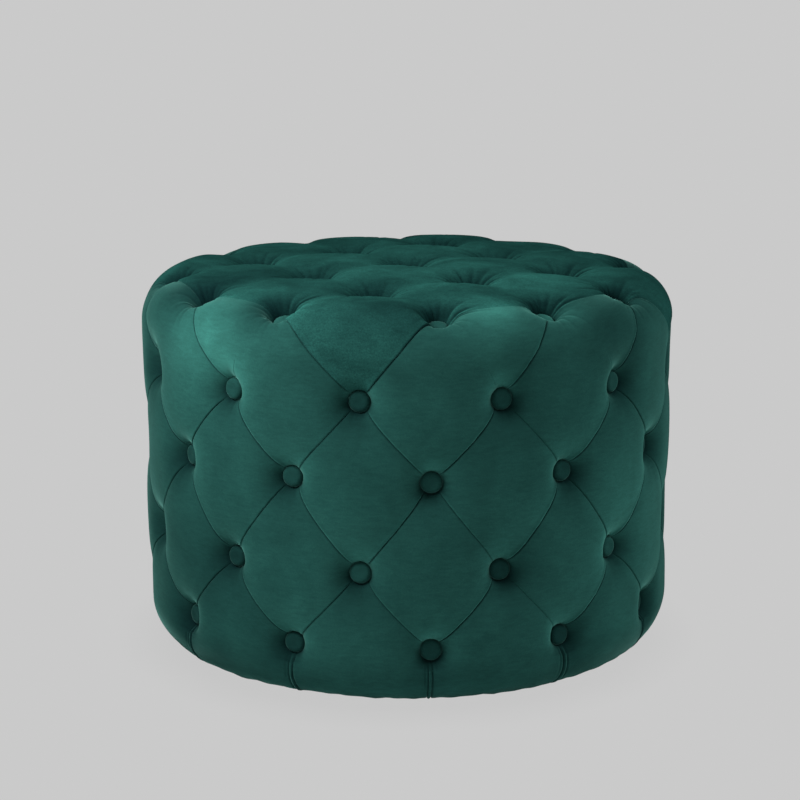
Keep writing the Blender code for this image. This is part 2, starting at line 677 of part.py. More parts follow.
def add_posts(rooms):
    for k in range(POSTS):
        turn = k * 2.0 * math.pi / POSTS
        shape = bmesh.new()
        bmesh.ops.create_cube(shape, size=1.0)
        height = DECK_BOTTOM - BASE_TOP - 2.0 * CLEARANCE
        size = Matrix.Diagonal((POST_WIDTH, POST_DEPTH, height, 1.0))
        bmesh.ops.transform(shape, matrix=size, verts=shape.verts)
        post = add_object(f"post_{k + 1}", mesh_of(shape, "post"), PINE)
        post.location = around(POST_RADIUS, turn, (DECK_BOTTOM + BASE_TOP) / 2.0)
        post.rotation_euler = (0.0, 0.0, turn)
        for room in rooms:
            boolean(post, room)


def add_frame(holes):
    downwards = Matrix.Rotation(math.pi, 4, "X")
    turns = [k * 2.0 * math.pi / POSTS for k in range(POSTS)]
    deck_places = [Matrix.Translation(around(POST_RADIUS, turn, DECK_TOP)) @ downwards for turn in turns]
    base_places = [Matrix.Translation(around(POST_RADIUS, turn, BASE_BOTTOM)) for turn in turns]
    deck_room = add_screws("deck_screw", deck_places, SCREW_LENGTH)
    base_room = add_screws("base_screw", base_places, SCREW_LENGTH)
    add_posts((deck_room, base_room))
    deck = add_turned("top_deck", [(0.0, DECK_BOTTOM), (PANEL_RADIUS, DECK_BOTTOM), (PANEL_RADIUS, DECK_TOP),
                                   (0.0, DECK_TOP)], PLYWOOD)
    boolean(deck, holes)
    boolean(deck, deck_room)
    ring_inner = PANEL_RADIUS - BASE_RING_WIDTH
    base = add_turned("base_ring", [(ring_inner, BASE_BOTTOM), (PANEL_RADIUS, BASE_BOTTOM), (PANEL_RADIUS, BASE_TOP),
                                    (ring_inner, BASE_TOP)], PLYWOOD)
    boolean(base, base_room)
    wall_inner = FRAME_RADIUS - WALL
    wall = add_turned("wall_panel", [(wall_inner, BASE_BOTTOM), (FRAME_RADIUS, BASE_BOTTOM), (FRAME_RADIUS, DECK_TOP),
                                     (wall_inner, DECK_TOP)], PLYWOOD)
    boolean(wall, holes)
    return base


def add_underside(base):
    """The dust cover under the frame, and the glides that are screwed on through it."""
    turns = [FIRST_GLIDE + k * 2.0 * math.pi / GLIDES for k in range(GLIDES)]
    screw_places = [Matrix.Translation(around(POST_RADIUS, turn, GLIDE_TOP - GLIDE_WEB)) for turn in turns]
    room = add_screws("glide_screw", screw_places, GLIDE_SCREW_LENGTH + GLIDE_WEB)
    cover_top = LINING_BOTTOM
    cover_bottom = cover_top - DUST_COVER
    edge = HEM_RADIUS * FACET - DUST_COVER_MARGIN
    dust_cover = add_turned("dust_cover", [(0.0, cover_bottom), (edge, cover_bottom), (edge, cover_top),
                                           (0.0, cover_top)], CAMBRIC)
    boolean(dust_cover, room)
    boolean(base, room)
    rim = GLIDE_DIAMETER / 2.0
    well = SCREW_HEAD_DIAMETER / 2.0 + 4.0 * CLEARANCE
    bore = SCREW_DIAMETER / 2.0 + CLEARANCE
    seat = GLIDE_TOP - GLIDE_WEB
    outline = [(bore, seat + SCREW_HEAD), (well, seat - CLEARANCE), (well, 0.0), (rim - GLIDE_TAPER, 0.0),
               (rim, GLIDE_TOP / 2.0), (rim, GLIDE_TOP), (bore, GLIDE_TOP)]
    for k, turn in enumerate(turns):
        glide = turned(outline, GLIDE_SIDES)
        piece = add_object(f"glide_{k + 1}", mesh_of(glide, "glide"), PLASTIC)
        piece.location = around(POST_RADIUS, turn, 0.0)


for old in list(bpy.data.objects):
    bpy.data.objects.remove(old)
stool = bpy.data.objects.new("stool", None)
bpy.context.scene.collection.objects.link(stool)

for panel_name, panel_cells in cover_cells().items():
    CoverPanel(panel_name, panel_cells)
for row_name in ("rim", "row_2", "row_3", "row_4", "row_5", "inner", "outer", "middle"):
    add_button_row(f"buttons_{row_name}", row_name)
bores = twine_holes()
add_foam(bores)
add_underside(add_frame(bores))
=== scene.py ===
"""Round deep-buttoned drum stool in emerald velvet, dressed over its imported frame.

Metres, +Z up, and the front faces -Y. A place on the cover is (reach, turn): the way from the middle
of the top along the cover, over the rim and down the side, and the angle round the stool from the front.
"""

import math

import bmesh
import bpy
import numpy as np
from mathutils import Matrix, Vector, noise


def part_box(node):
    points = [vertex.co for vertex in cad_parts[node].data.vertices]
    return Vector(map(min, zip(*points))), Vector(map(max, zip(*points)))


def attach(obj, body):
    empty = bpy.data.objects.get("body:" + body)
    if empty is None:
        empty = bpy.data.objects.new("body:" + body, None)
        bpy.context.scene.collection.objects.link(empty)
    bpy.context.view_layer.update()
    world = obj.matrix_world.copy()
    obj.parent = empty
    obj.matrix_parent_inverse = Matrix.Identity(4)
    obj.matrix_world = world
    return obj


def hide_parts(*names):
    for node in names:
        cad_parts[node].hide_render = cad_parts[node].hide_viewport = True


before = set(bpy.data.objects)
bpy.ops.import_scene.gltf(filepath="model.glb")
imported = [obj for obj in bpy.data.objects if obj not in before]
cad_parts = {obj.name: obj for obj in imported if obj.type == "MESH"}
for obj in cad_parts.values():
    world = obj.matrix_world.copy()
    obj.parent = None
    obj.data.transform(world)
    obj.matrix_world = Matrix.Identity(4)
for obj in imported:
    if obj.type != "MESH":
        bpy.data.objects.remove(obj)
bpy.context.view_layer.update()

# Sizes of the cover and its tufts, as in the part's source
PUFF_RADIUS = 0.305
HEIGHT = 0.444
CROWN = 0.008
RIM_ROUNDING = 0.055
FOOT_ROUNDING = 0.045
FOOT_RISE = 0.058
GROUND_CLEARANCE = 0.007
HEM_RADIUS = 0.236
HEM_THICKNESS = 0.0022
COLUMNS = 12
COLUMN = math.tau / COLUMNS
FIRST_COLUMN = math.radians(5.0)
TOP_TURN = math.radians(-1.5)
RIM_PAIR = 2.0 * math.atan(1.0 / 3.0)
RIM_TUFT_INSET = 0.037
ROW_HEIGHTS = {"row_2": 0.3385, "row_3": 0.2528, "row_4": 0.1531, "row_5": 0.0685}
KNEE_DROP = 0.038
SIDE_TUFT_DEPTH = 0.0235
TOP_TUFT_DEPTH = 0.032
BUTTON_HEIGHT = 0.0085

# The pits at the rim are shallower here than in the solids, where they are as deep as those of the top
RIM_TUFT_DEPTH = 0.028

RIM_CENTRE_RADIUS = PUFF_RADIUS - RIM_ROUNDING
CROWN_ANGLE = 2.0 * math.atan(CROWN / RIM_CENTRE_RADIUS)
CROWN_RADIUS = (RIM_CENTRE_RADIUS + RIM_ROUNDING * math.sin(CROWN_ANGLE)) / math.sin(CROWN_ANGLE)
RIM_CENTRE_Z = HEIGHT - CROWN_RADIUS * (1.0 - math.cos(CROWN_ANGLE)) - RIM_ROUNDING * math.cos(CROWN_ANGLE)
CROWN_REACH = CROWN_RADIUS * CROWN_ANGLE
RIM_REACH = CROWN_REACH + RIM_ROUNDING * (math.pi / 2.0 - CROWN_ANGLE)
FOOT_Z = GROUND_CLEARANCE + FOOT_RISE
WALL_REACH = RIM_REACH + RIM_CENTRE_Z - FOOT_Z
FOOT_REACH = WALL_REACH + math.hypot(FOOT_ROUNDING, FOOT_RISE) / math.sqrt(2.0) * math.pi / 2.0
KNEE_REACH = RIM_REACH + RIM_CENTRE_Z - ROW_HEIGHTS["row_5"] + KNEE_DROP
HEM_REACH = FOOT_REACH + PUFF_RADIUS - FOOT_ROUNDING - HEM_RADIUS
RIM_TUFT_RADIUS = PUFF_RADIUS - RIM_TUFT_INSET
RIM_TUFT_ANGLE = math.asin((RIM_TUFT_RADIUS - RIM_CENTRE_RADIUS) / RIM_ROUNDING)
RIM_TUFT_REACH = CROWN_REACH + RIM_ROUNDING * (RIM_TUFT_ANGLE - CROWN_ANGLE)
LATTICE = RIM_TUFT_RADIUS / 3.0

# How far a pit spreads in the drawn velvet, at some reaches along the cover, and how the padding swells
PIT_FLOOR = 0.0104
PIT_SPREADS = ((0.72 * RIM_TUFT_REACH, 0.0140), (RIM_TUFT_REACH, 0.0100),
               (RIM_TUFT_REACH + 0.012, 0.0065), (RIM_REACH, 0.0160))
PLUMP = 0.0012
STIFFEST = 40.0
SETTLE_ROUNDS = 600
SETTLED = 1e-14

# Pleats: depth half-way between buttons, slope of their sides, and how far from a button they fade
PLEAT_SIDE = 0.0022
PLEAT_SIDE_SLOPE = 0.0120
PLEAT_RIM = 0.0020
PLEAT_TOP = 0.0030
PLEAT_TOP_SLOPE = 0.0180
PLEAT_FADE = 0.030

# Folded edges of the side's pleats: the groove, the lap over it and the lip beside it
FOLD_DEPTH = 0.0020
FOLD_WIDTH = 0.0006
FOLD_FADE = 0.008
FOLD_LAP = 0.0008
LAP_WIDTH = 0.0030
LAP_START = 0.0005
FOLD_LIP = 0.0003
LIP_AWAY = 0.0020
LIP_WIDTH = 0.0022
LINE_STEPS = 40
TURNED_IN = 0.0030

# How sharply folds are pressed, and the slack ones that run only a little way up from the second row
RISING_RIGHT = (0.85, 1.10)
RISING_LEFT = (0.35, 0.70)
SLACK_FOLD = 0.45
SLACK_LENGTH = 0.046
SLACK_FADE = 0.026

# Pleats below the lowest buttons, a pair and a short third: place across in spreads, and how hard pressed
FOOT_PLEATS = ((-1.0, 1.0), (1.0, 1.0), (-2.6, 0.5))
FOOT_PLEAT_SPREAD = 0.0024
FOOT_PLEAT_WIDTH = 1.3 * FOLD_WIDTH
FOOT_PLEAT_START = 0.006
FOOT_PLEAT_END = 0.025
FOOT_PLEAT_DRIFT = 0.0018
FOOT_PLEAT_LEAN = 0.05
FOOT_PLEAT_FAN = 10.0
SHORT_PLEAT = 0.040
SHORT_PLEAT_FADE = 0.020
FOOT_RIDGE = 0.0009

# Gathers that run out from a button: how many, how deep and how long at most, and how they vary
GATHER_TOP = 0.0026
TOP_GATHERS = (17, GATHER_TOP, 0.058)
SIDE_GATHERS = (9, 0.0006, 0.018)
GATHER_DEPTHS = (0.35, 1.0)
GATHER_LENGTHS = (0.4, 1.0)
GATHER_WIDTHS = (0.0009, 0.0013)
GATHER_JITTER = 0.3
GATHER_FLARE = 0.022
GATHER_START = 0.010
GATHER_RISE = 0.005
# How much painted shade the gathers put into the velvet's colour
GATHER_SHADE = 0.9
OUTER_EASE = 0.65
OUTER_EASE_LENGTH = 0.010

# Where turns about a button count from, how far the velvet leans to its line, and the painted shade beside
# it: its strength, how much more below the button, and its width
ASLANT = (0.3, 0.2, 0.93)
LEAN_REACH = 0.046
LEAN_FADE = 0.030
CONTACT_SHADE = 0.6
CONTACT_BELOW = 0.4
CONTACT_WIDTH = 0.0028

# Unevenness of the padding: its height, and its waves to the metre
LUMPS = 0.0012
LUMP_RATE = 14.0
RIPPLES = 0.0013
RIPPLE_RATE = 70.0
RIPPLE_RATE_DOWN = 12.0
RIPPLE_ABOVE = 0.016
RIPPLE_SPREAD = 0.020

# How the pile lies, and the painted light, shade and sheen in the velvet's colour: how strongly it follows
# the velvet's slope against the pile's way, and its level at some reaches along the cover
SIDE_PAINTED_LIGHT = 1.15
TOP_PAINTED_LIGHT = 1.6
AROUND_PAINTED_LIGHT = 1.3
ACROSS_PAINTED_LIGHT = 0.6
NAP_STEP = 1e-4
NAP_LIMIT = 0.8
NAP_TURNBACK = 1.5
NAP_TURN_END = RIM_REACH + 0.010
SIDE_LEVELS = ((RIM_TUFT_REACH, 1.00), (RIM_TUFT_REACH + 0.04, 0.86), (RIM_REACH + 0.06, 0.86),
               (WALL_REACH, 0.88))
TOP_LEVELS = ((0.45 * RIM_TUFT_REACH, 0.98), (0.75 * RIM_TUFT_REACH, 0.78), (RIM_TUFT_REACH, 0.80),
              (RIM_REACH, 0.86), (RIM_REACH + 0.03, 0.98))
# Patches of painted light and shade, partly the pile's own brushed patches: turn in degrees, way down the
# cover, spread, and how light each makes the colour
PILE_PATCHES_AND_PAINTED_LIGHT = ((48.5, 0.313, 0.055, 0.58), (-34.0, 0.282, 0.026, 0.45), (-62.0, 0.280, 0.030, 0.60),
           (-46.0, 0.330, 0.075, 2.15), (-9.5, 0.285, 0.042, 0.62), (18.0, 0.273, 0.035, 2.25),
           (36.0, 0.280, 0.022, 1.50), (50.0, 0.185, 0.080, 1.55), (-60.0, 0.215, 0.090, 0.58),
           (-50.0, 0.610, 0.095, 0.72), (60.0, 0.540, 0.110, 1.50), (108.0, 0.280, 0.032, 0.55))

# Buttons in their velvet: outline from the back to the middle of the face, as shares of radius and height
COVERED_RADIUS = 0.0120
BUTTON_OUTLINE = ((0.86, 0.02), (0.95, 0.09), (1.0, 0.25), (1.0, 0.42), (0.965, 0.62), (0.90, 0.79),
                  (0.80, 0.92), (0.67, 0.985), (0.52, 1.0), (0.34, 0.985), (0.16, 0.965))
BUTTON_DISH = 0.96
BUTTON_SIDES = 40
BUTTON_PUCKERS = ((0.014, 13, 1), (0.008, 7, 2))
PUCKERED_RINGS = 4
SEAT_GAP = 0.0003
BUTTON_TILT = 0.05
# Tone of the buttons' velvet, at random between these and darkened as painted shade of their pits; on the
# rim it is twice as light
BUTTON_TONES = (0.34, 0.76)
RIM_BUTTON_TONE = 2.0

# Twine, its distance from the wood that it is tied behind, and the toggle on the twine of the middle
TWINE_RADIUS = 0.0012
TWINE_OFF_WOOD = 0.003
RIM_TWINE_INSET = 0.0097
OUTER_TWINE_DROP = 0.005
TOGGLE_HALF = 0.009
TOGGLE_RADIUS = 0.0015

# Foam, a hair inside its solid, with the dish and the pinched hole that each twine presses into it
FOAM_FIT = 0.9985
FOAM_GAP = 0.0003
FOAM_SIDES = 360
SIDE_FOAM_ROWS = 140
TOP_FOAM_RINGS = 110
DISH_DEPTH = 0.0030
DISH_WIDTH = 0.014
PINCH_DEPTH = 0.0080
PINCH_WIDTH = 0.0025

# Dust cover: it sags inside the ring, and its hem is folded double and puckers a little
RING_WIDTH = 0.075
DUST_HEM = 0.011
DUST_BEND = 0.0006
DUST_FLAT = 0.003
DUST_GAP = 0.0003
DUST_DOUBLE = 0.0004
DUST_SAG = 0.0022
DUST_SLACK = 0.0009
DUST_WAVES = 9
DUST_PUCKER = 0.00012
DUST_PUCKERS = 36
DUST_PUCKER_REACH = 0.030
DUST_SIDES = 240
DUST_RINGS = 60
HEM_RINGS = 6

# Points of the sheet: steps from a pleat to the middle of a puff, the first step's share, and foot rows
GRID = 26
FIRST_STEP = 0.0100
FOOT_STEPS = 17
HEM_STEPS = 8
SAME_PLACE = 1e-4
SIDE_FROM = RIM_TUFT_REACH - SAME_PLACE

TOP_ROWS = ("rim", "inner", "outer", "middle")
BACK_FLAP = 5
FRONT_FLAP = 11


def graded_steps():
    """Shares of the way from a pleat to the middle of a puff, close together at the pleat."""
    growth = 1.05
    for _ in range(60):
        total = FIRST_STEP * (growth ** GRID - 1.0) / (growth - 1.0)
        growth *= (1.0 / total) ** (1.0 / GRID)
    steps = FIRST_STEP * growth ** np.arange(GRID)
    shares = np.concatenate([[0.0], np.cumsum(steps)])
    return shares / shares[-1]


STEPS = graded_steps()


def around(radius, turn, z):
    return np.stack([radius * np.sin(turn), -radius * np.cos(turn), z + 0.0 * radius], axis=-1)


def over_the_padding(reach, turn):
    """Points and outward normals of the plump surface at places on the cover."""
    reach, turn = np.broadcast_arrays(np.asarray(reach, float), np.asarray(turn, float))
    none = 0.0 * reach
    crown = reach / CROWN_RADIUS
    rim = CROWN_ANGLE + (reach - CROWN_REACH) / RIM_ROUNDING
    foot = (reach - WALL_REACH) / (FOOT_REACH - WALL_REACH) * math.pi / 2.0
    lean = np.hypot(FOOT_RISE * np.cos(foot), FOOT_ROUNDING * np.sin(foot))
    on = [reach <= end for end in (CROWN_REACH, RIM_REACH, WALL_REACH, FOOT_REACH, HEM_REACH)]
    radius = np.select(on, [CROWN_RADIUS * np.sin(crown),
                            RIM_CENTRE_RADIUS + RIM_ROUNDING * np.sin(rim),
                            PUFF_RADIUS + none,
                            PUFF_RADIUS - FOOT_ROUNDING * (1.0 - np.cos(foot)),
                            PUFF_RADIUS - FOOT_ROUNDING - (reach - FOOT_REACH)], HEM_RADIUS)
    height = np.select(on, [HEIGHT - CROWN_RADIUS * (1.0 - np.cos(crown)),
                            RIM_CENTRE_Z + RIM_ROUNDING * np.cos(rim),
                            RIM_CENTRE_Z - (reach - RIM_REACH),
                            FOOT_Z - FOOT_RISE * np.sin(foot),
                            GROUND_CLEARANCE + none], GROUND_CLEARANCE + reach - HEM_REACH)
    foot_out, foot_up = FOOT_RISE * np.cos(foot) / lean, -FOOT_ROUNDING * np.sin(foot) / lean
    out = np.select(on, [np.sin(crown), np.sin(rim), 1.0 + none, foot_out, none], -1.0)
    up = np.select(on, [np.cos(crown), np.cos(rim), none, foot_up, -1.0 + none], 0.0)
    return around(radius, turn, height), around(out, turn, up)


def along_cover(reach, steps):
    """A value that changes along the cover, given at some reaches."""
    reaches, values = zip(*steps)
    return np.interp(reach, reaches, values)


def bell(away, width):
    """1 at no distance, falling softly to 0 over a few widths."""
    return np.exp(-(away / width) ** 2)


def eased(share):
    share = np.clip(share, 0.0, 1.0)
    return share * share * (3.0 - 2.0 * share)


def row_number(name):
    """A number for the name of a row or a pair of rows, so that each has its own random draws."""
    return sum(ord(letter) for letter in name)


# Where the buttons pull the velvet in, and which puffs lie between them

def rim_turn(k):
    """Rim tufts stand on the square pattern of the top: one on each diagonal and a pair about each axis."""
    side = k % 3 - 1
    diagonal = FIRST_COLUMN + (k - side) * COLUMN + TOP_TURN
    return diagonal + side * (math.pi / 4.0 - RIM_PAIR / 2.0)


places = {("middle", 0): (0.0, 0.0)}
for k in range(COLUMNS):
    places["rim", k] = (RIM_TUFT_REACH, rim_turn(k))
    places["knee", k] = (KNEE_REACH, FIRST_COLUMN + k * COLUMN)
    for row, z in ROW_HEIGHTS.items():
        shift = 0.5 if row in ("row_2", "row_4") else 0.0
        places[row, k] = (RIM_REACH + RIM_CENTRE_Z - z, FIRST_COLUMN + (k + shift) * COLUMN)
for k in range(4):
    diagonal = FIRST_COLUMN + COLUMN + TOP_TURN + k * math.pi / 2.0
    places["inner", k] = (LATTICE * math.sqrt(2.0), diagonal)
    places["outer", k] = (LATTICE * 2.0, diagonal + math.pi / 4.0)


def tuft_depth(corner):
    if corner[0] == "rim":
        return RIM_TUFT_DEPTH
    return TOP_TUFT_DEPTH if corner[0] in TOP_ROWS else SIDE_TUFT_DEPTH


def pleat_depth(a, b):
    """Depth of the pleat half-way between two neighbouring tufts, or None where there is no valley."""
    rows = {a[0], b[0]}
    if rows == {"rim"}:
        return PLEAT_RIM
    if rows == {"rim", "row_2"}:
        k_rim, k_row = (a[1], b[1]) if a[0] == "rim" else (b[1], a[1])
        on_flap = k_row in (BACK_FLAP, FRONT_FLAP)
        leans_back = k_rim == (k_row + 1 if k_row < BACK_FLAP else k_row) % COLUMNS
        return PLEAT_SIDE if on_flap or leans_back else None
    return PLEAT_TOP if rows & {"inner", "outer", "middle"} else PLEAT_SIDE


def side_panel(k):
    """The side's panel to the right of column k."""
    return "side_cover_front" if (k - 3) % COLUMNS >= COLUMNS // 2 else "side_cover_back"


def puffs():
    """Every puff of the cover: its panel and its ring of corners."""
    found = []

    def add(panel, *corners):
        counts = {"inner": 4, "outer": 4}
        found.append((panel, [(row, k % counts.get(row, COLUMNS)) for row, k in corners]))

    for j in range(4):
        d = 1 + 3 * j
        add("top_cover", ("middle", 0), ("inner", j), ("outer", j), ("inner", j + 1))
        add("top_cover", ("rim", d - 1), ("rim", d), ("inner", j), ("outer", j - 1))
        add("top_cover", ("rim", d), ("rim", d + 1), ("outer", j), ("inner", j))
        add("top_cover", ("row_2", d + 1), ("rim", d + 2), ("outer", j), ("rim", d + 1))
    for k in range(COLUMNS):
        left, right = side_panel(k - 1), side_panel(k)
        if k % 3 != 2:
            add(right, ("row_2", k), ("rim", k + 1), ("rim", k))
        add(left, ("row_2", k), ("rim", k), ("row_2", k - 1), ("row_3", k))
        add(right, ("row_3", k + 1), ("row_2", k), ("row_3", k), ("row_4", k))
        add(left, ("row_4", k), ("row_3", k), ("row_4", k - 1), ("row_5", k))
        add(right, ("row_5", k + 1), ("row_4", k), ("row_5", k), ("knee", k), ("knee", k + 1))
    return found


def between(a, b, shares):
    """Places at these shares of the way from place a to place b."""
    shares = np.asarray(shares, float)
    if min(a[0], b[0]) >= SIDE_FROM:
        turn = math.remainder(b[1] - a[1], math.tau)
        return np.stack([a[0] + shares * (b[0] - a[0]), a[1] + shares * turn], axis=-1)
    start = a[0] * np.array([math.sin(a[1]), -math.cos(a[1])])
    end = b[0] * np.array([math.sin(b[1]), -math.cos(b[1])])
    spots = start + shares[..., None] * (end - start)
    x, y = spots[..., 0], spots[..., 1]
    return np.stack([np.hypot(x, y), np.arctan2(x, -y)], axis=-1)


def middle_of(corners):
    spots = [places[corner] for corner in corners]
    if min(reach for reach, _ in spots) >= SIDE_FROM:
        turns = [math.remainder(turn - spots[0][1], math.tau) for _, turn in spots]
        turn = spots[0][1] + (min(turns) + max(turns)) / 2.0
        return sum(reach for reach, _ in spots) / len(spots), turn
    x = sum(reach * math.sin(turn) for reach, turn in spots) / len(spots)
    y = sum(-reach * math.cos(turn) for reach, turn in spots) / len(spots)
    return math.hypot(x, y), math.atan2(x, -y)


def edge_distance(points, line):
    """Each point's distance from a line of points, how far along it that is, and the line's length."""
    starts, ways = line[:-1], np.diff(line, axis=0)
    lengths = np.linalg.norm(ways, axis=1)
    along = np.concatenate([[0.0], np.cumsum(lengths)[:-1]])
    offset = points[:, None, :] - starts[None]
    share = np.clip((offset * ways).sum(-1) / (lengths ** 2), 0.0, 1.0)
    away = np.linalg.norm(offset - share[..., None] * ways, axis=-1)
    best = away.argmin(axis=1)
    rows = np.arange(len(points))
    return away[rows, best], along[best] + share[rows, best] * lengths[best], lengths.sum()


class VelvetCover:
    """The velvet over the whole stool: one sheet that the twine pulls in and the padding pushes out."""

    def __init__(self):
        self.sheet = []
        self.number = {}
        self.faces = []
        self.panel_of_face = []
        self.pinned = {}
        self.patches = []
        for index, (panel, corners) in enumerate(puffs()):
            self.lay_puff(index, panel, corners)
        self.lay_foot()
        self.sheet = np.array(self.sheet)
        self.spots, self.normals = over_the_padding(self.sheet[:, 0], self.sheet[:, 1])

    def point(self, key, place):
        if key not in self.number:
            self.number[key] = len(self.sheet)
            self.sheet.append(tuple(place))
        return self.number[key]

    def half_edge(self, a, b):
        """Point numbers from corner a to the middle of the edge that runs to corner b."""
        line = between(places[a], places[b], STEPS / 2.0)
        found = [self.point(("corner", a), places[a])]
        for i in range(1, GRID):
            found.append(self.point(("edge", a, b, i), line[i]))
        first, second = sorted((a, b))
        halfway = between(places[first], places[second], 0.5)
        found.append(self.point(("middle", first, second), halfway))
        return found

    def lay_puff(self, index, panel, corners):
        crest = middle_of(corners)
        top = self.point(("crest", index), crest)
        count = len(corners)
        ribs = []
        for i in range(count):
            a, b = sorted((corners[i], corners[(i + 1) % count]))
            halfway = tuple(between(places[a], places[b], 0.5))
            line = between(halfway, crest, STEPS)
            rib = [self.point(("middle", a, b), halfway)]
            for j in range(1, GRID):
                rib.append(self.point(("rib", index, i, j), line[j]))
            ribs.append(rib + [top])
        for i in range(count):
            self.lay_corner(index, i, panel, corners, crest, ribs)

    def lay_corner(self, index, i, panel, corners, crest, ribs):
        """One quarter of a puff, between a tuft, the middles of its two pleats and the crest."""
        corner, after, before = corners[i], corners[(i + 1) % len(corners)], corners[i - 1]
        grid = np.zeros((GRID + 1, GRID + 1), int)
        grid[:, 0] = self.half_edge(corner, after)
        grid[0, :] = self.half_edge(corner, before)
        grid[GRID, :] = ribs[i]
        grid[:, GRID] = ribs[i - 1]
        on_top = min(places[c][0] for c in corners) < SIDE_FROM

        def to_plane(numbers):
            known = np.array([self.sheet[n] for n in numbers])
            if on_top:
                return known[:, :1] * np.stack([np.sin(known[:, 1]), -np.cos(known[:, 1])], axis=-1)
            turns = np.array([math.remainder(turn - crest[1], math.tau) for turn in known[:, 1]])
            return np.stack([turns, known[:, 0]], axis=-1)

        low, high = to_plane(grid[:, 0]), to_plane(grid[:, GRID])
        near, far = to_plane(grid[0, :]), to_plane(grid[GRID, :])
        u, v = STEPS[:, None, None], STEPS[None, :, None]
        plane = ((1 - v) * low[:, None] + v * high[:, None] + (1 - u) * near[None] + u * far[None]
                 - (1 - u) * (1 - v) * low[0] - u * (1 - v) * low[-1]
                 - (1 - u) * v * high[0] - u * v * high[-1])
        for a in range(1, GRID):
            for b in range(1, GRID):
                x, y = plane[a, b]
                place = (math.hypot(x, y), math.atan2(x, -y)) if on_top else (y, crest[1] + x)
                grid[a, b] = self.point(("puff", index, i, a, b), place)
        self.add_faces(grid, panel)
        self.patches.append((corners, i, crest, grid))

    def add_faces(self, grid, panel):
        around_quad = [grid[:-1, :-1], grid[1:, :-1], grid[1:, 1:], grid[:-1, 1:]]
        quads = np.stack(around_quad, axis=-1).reshape(-1, 4)
        self.faces.append(quads)
        self.panel_of_face += [panel] * len(quads)

    def lay_foot(self):
        """The band that goes round the lower edge and is turned under the frame."""
        reaches = np.concatenate([np.linspace(KNEE_REACH, FOOT_REACH, FOOT_STEPS),
                                  np.linspace(FOOT_REACH, HEM_REACH, HEM_STEPS)[1:],
                                  [HEM_REACH + HEM_THICKNESS]])
        self.foot_grids = []
        for k in range(COLUMNS):
            left, right = ("knee", k), ("knee", (k + 1) % COLUMNS)
            top = self.half_edge(left, right) + self.half_edge(right, left)[-2::-1]
            grid = np.zeros((len(top), len(reaches)), int)
            grid[:, 0] = top
            for i, number in enumerate(top):
                turn = self.sheet[number][1]
                at_pleat = k if i == 0 else (k + 1) % COLUMNS if i == len(top) - 1 else None
                for j in range(1, len(reaches)):
                    key = ("hem", at_pleat, j) if at_pleat is not None else ("foot", k, i, j)
                    grid[i, j] = self.point(key, (reaches[j], turn))
            self.add_faces(grid[::-1], side_panel(k))
            self.foot_grids.append(grid)

    def pin_pits(self):
        """Depth at which the twine holds the sheet, on the floor of every pit."""
        for (name, *rest), number in self.number.items():
            if name == "corner" and rest[0][0] != "knee":
                self.pinned[number] = tuft_depth(rest[0])
        for corners, i, _, grid in self.patches:
            if corners[i][0] == "knee":
                continue
            numbers = grid.ravel()
            centre = over_the_padding(*places[corners[i]])[0]
            near = np.linalg.norm(self.spots[numbers] - centre, axis=1) < PIT_FLOOR
            for number in numbers[near]:
                self.pinned[number] = tuft_depth(corners[i])
        for grid in self.foot_grids:
            for number in grid[:, -2:].ravel():
                self.pinned[number] = 0.0

    def settle(self):
        """How deep each point lies: the velvet is drawn tight between its pleats over springy padding."""
        quads = np.concatenate(self.faces)
        triangles = np.concatenate([quads[:, [0, 1, 2]], quads[:, [0, 2, 3]]])
        count = len(self.spots)
        weights, first, second = [], [], []
        mass = np.zeros(count)
        corner = self.spots[triangles]
        across = np.cross(corner[:, 1] - corner[:, 0], corner[:, 2] - corner[:, 0])
        area = 0.5 * np.linalg.norm(across, axis=1)
        for i in range(3):
            o, p, q = triangles[:, i], triangles[:, (i + 1) % 3], triangles[:, (i + 2) % 3]
            to_p, to_q = self.spots[p] - self.spots[o], self.spots[q] - self.spots[o]
            weights.append(0.5 * (to_p * to_q).sum(1) / np.maximum(2.0 * area, 1e-12))
            first.append(p)
            second.append(q)
            mass += np.bincount(o, area / 3.0, count)
        weight = np.clip(np.concatenate(weights), 0.0, STIFFEST)
        first, second = np.concatenate(first), np.concatenate(second)
        spring = mass / along_cover(self.sheet[:, 0], PIT_SPREADS) ** 2
        diagonal = spring + np.bincount(first, weight, count) + np.bincount(second, weight, count)

        def pull(depth):
            return (diagonal * depth - np.bincount(first, weight * depth[second], count)
                    - np.bincount(second, weight * depth[first], count))

        free = np.ones(count)
        depth = np.full(count, -PLUMP)
        for number, value in self.pinned.items():
            free[number] = 0.0
            depth[number] = value
        left = free * (spring * -PLUMP - pull(depth))
        step = left / diagonal
        size = (left * step).sum()
        for _ in range(SETTLE_ROUNDS):
            pulled = free * pull(step)
            share = size / (step * pulled).sum()
            depth += share * step
            left -= share * pulled
            lighter = left / diagonal
            next_size = (left * lighter).sum()
            if next_size < SETTLED:
                break
            step = lighter + next_size / size * step
            size = next_size
        self.depth = depth

    def fold(self):
        """Moves every point to its depth, and lays the folded edge of each pleat over its neighbour."""
        count = len(self.spots)
        self.axis = self.normals.copy()
        self.slide = np.zeros((count, 3))
        self.gather = np.zeros(count)
        self.painted_contact_shade = np.zeros(count)
        self.groove = np.zeros(count)
        self.valley = np.zeros(count)
        self.lip = np.zeros(count)
        for corners, i, crest, grid in self.patches:
            corner, numbers = corners[i], grid.ravel()
            if corner[0] != "knee":
                self.lean_to_button(corner, numbers)
            for other in (corners[(i + 1) % len(corners)], corners[i - 1]):
                self.fold_along(corner, other, crest, numbers)
        self.fold_foot()
        lift = self.lip + self.uneven_padding() - self.depth - self.valley - self.groove - self.gather
        self.points = self.spots + self.axis * lift[:, None] + self.slide

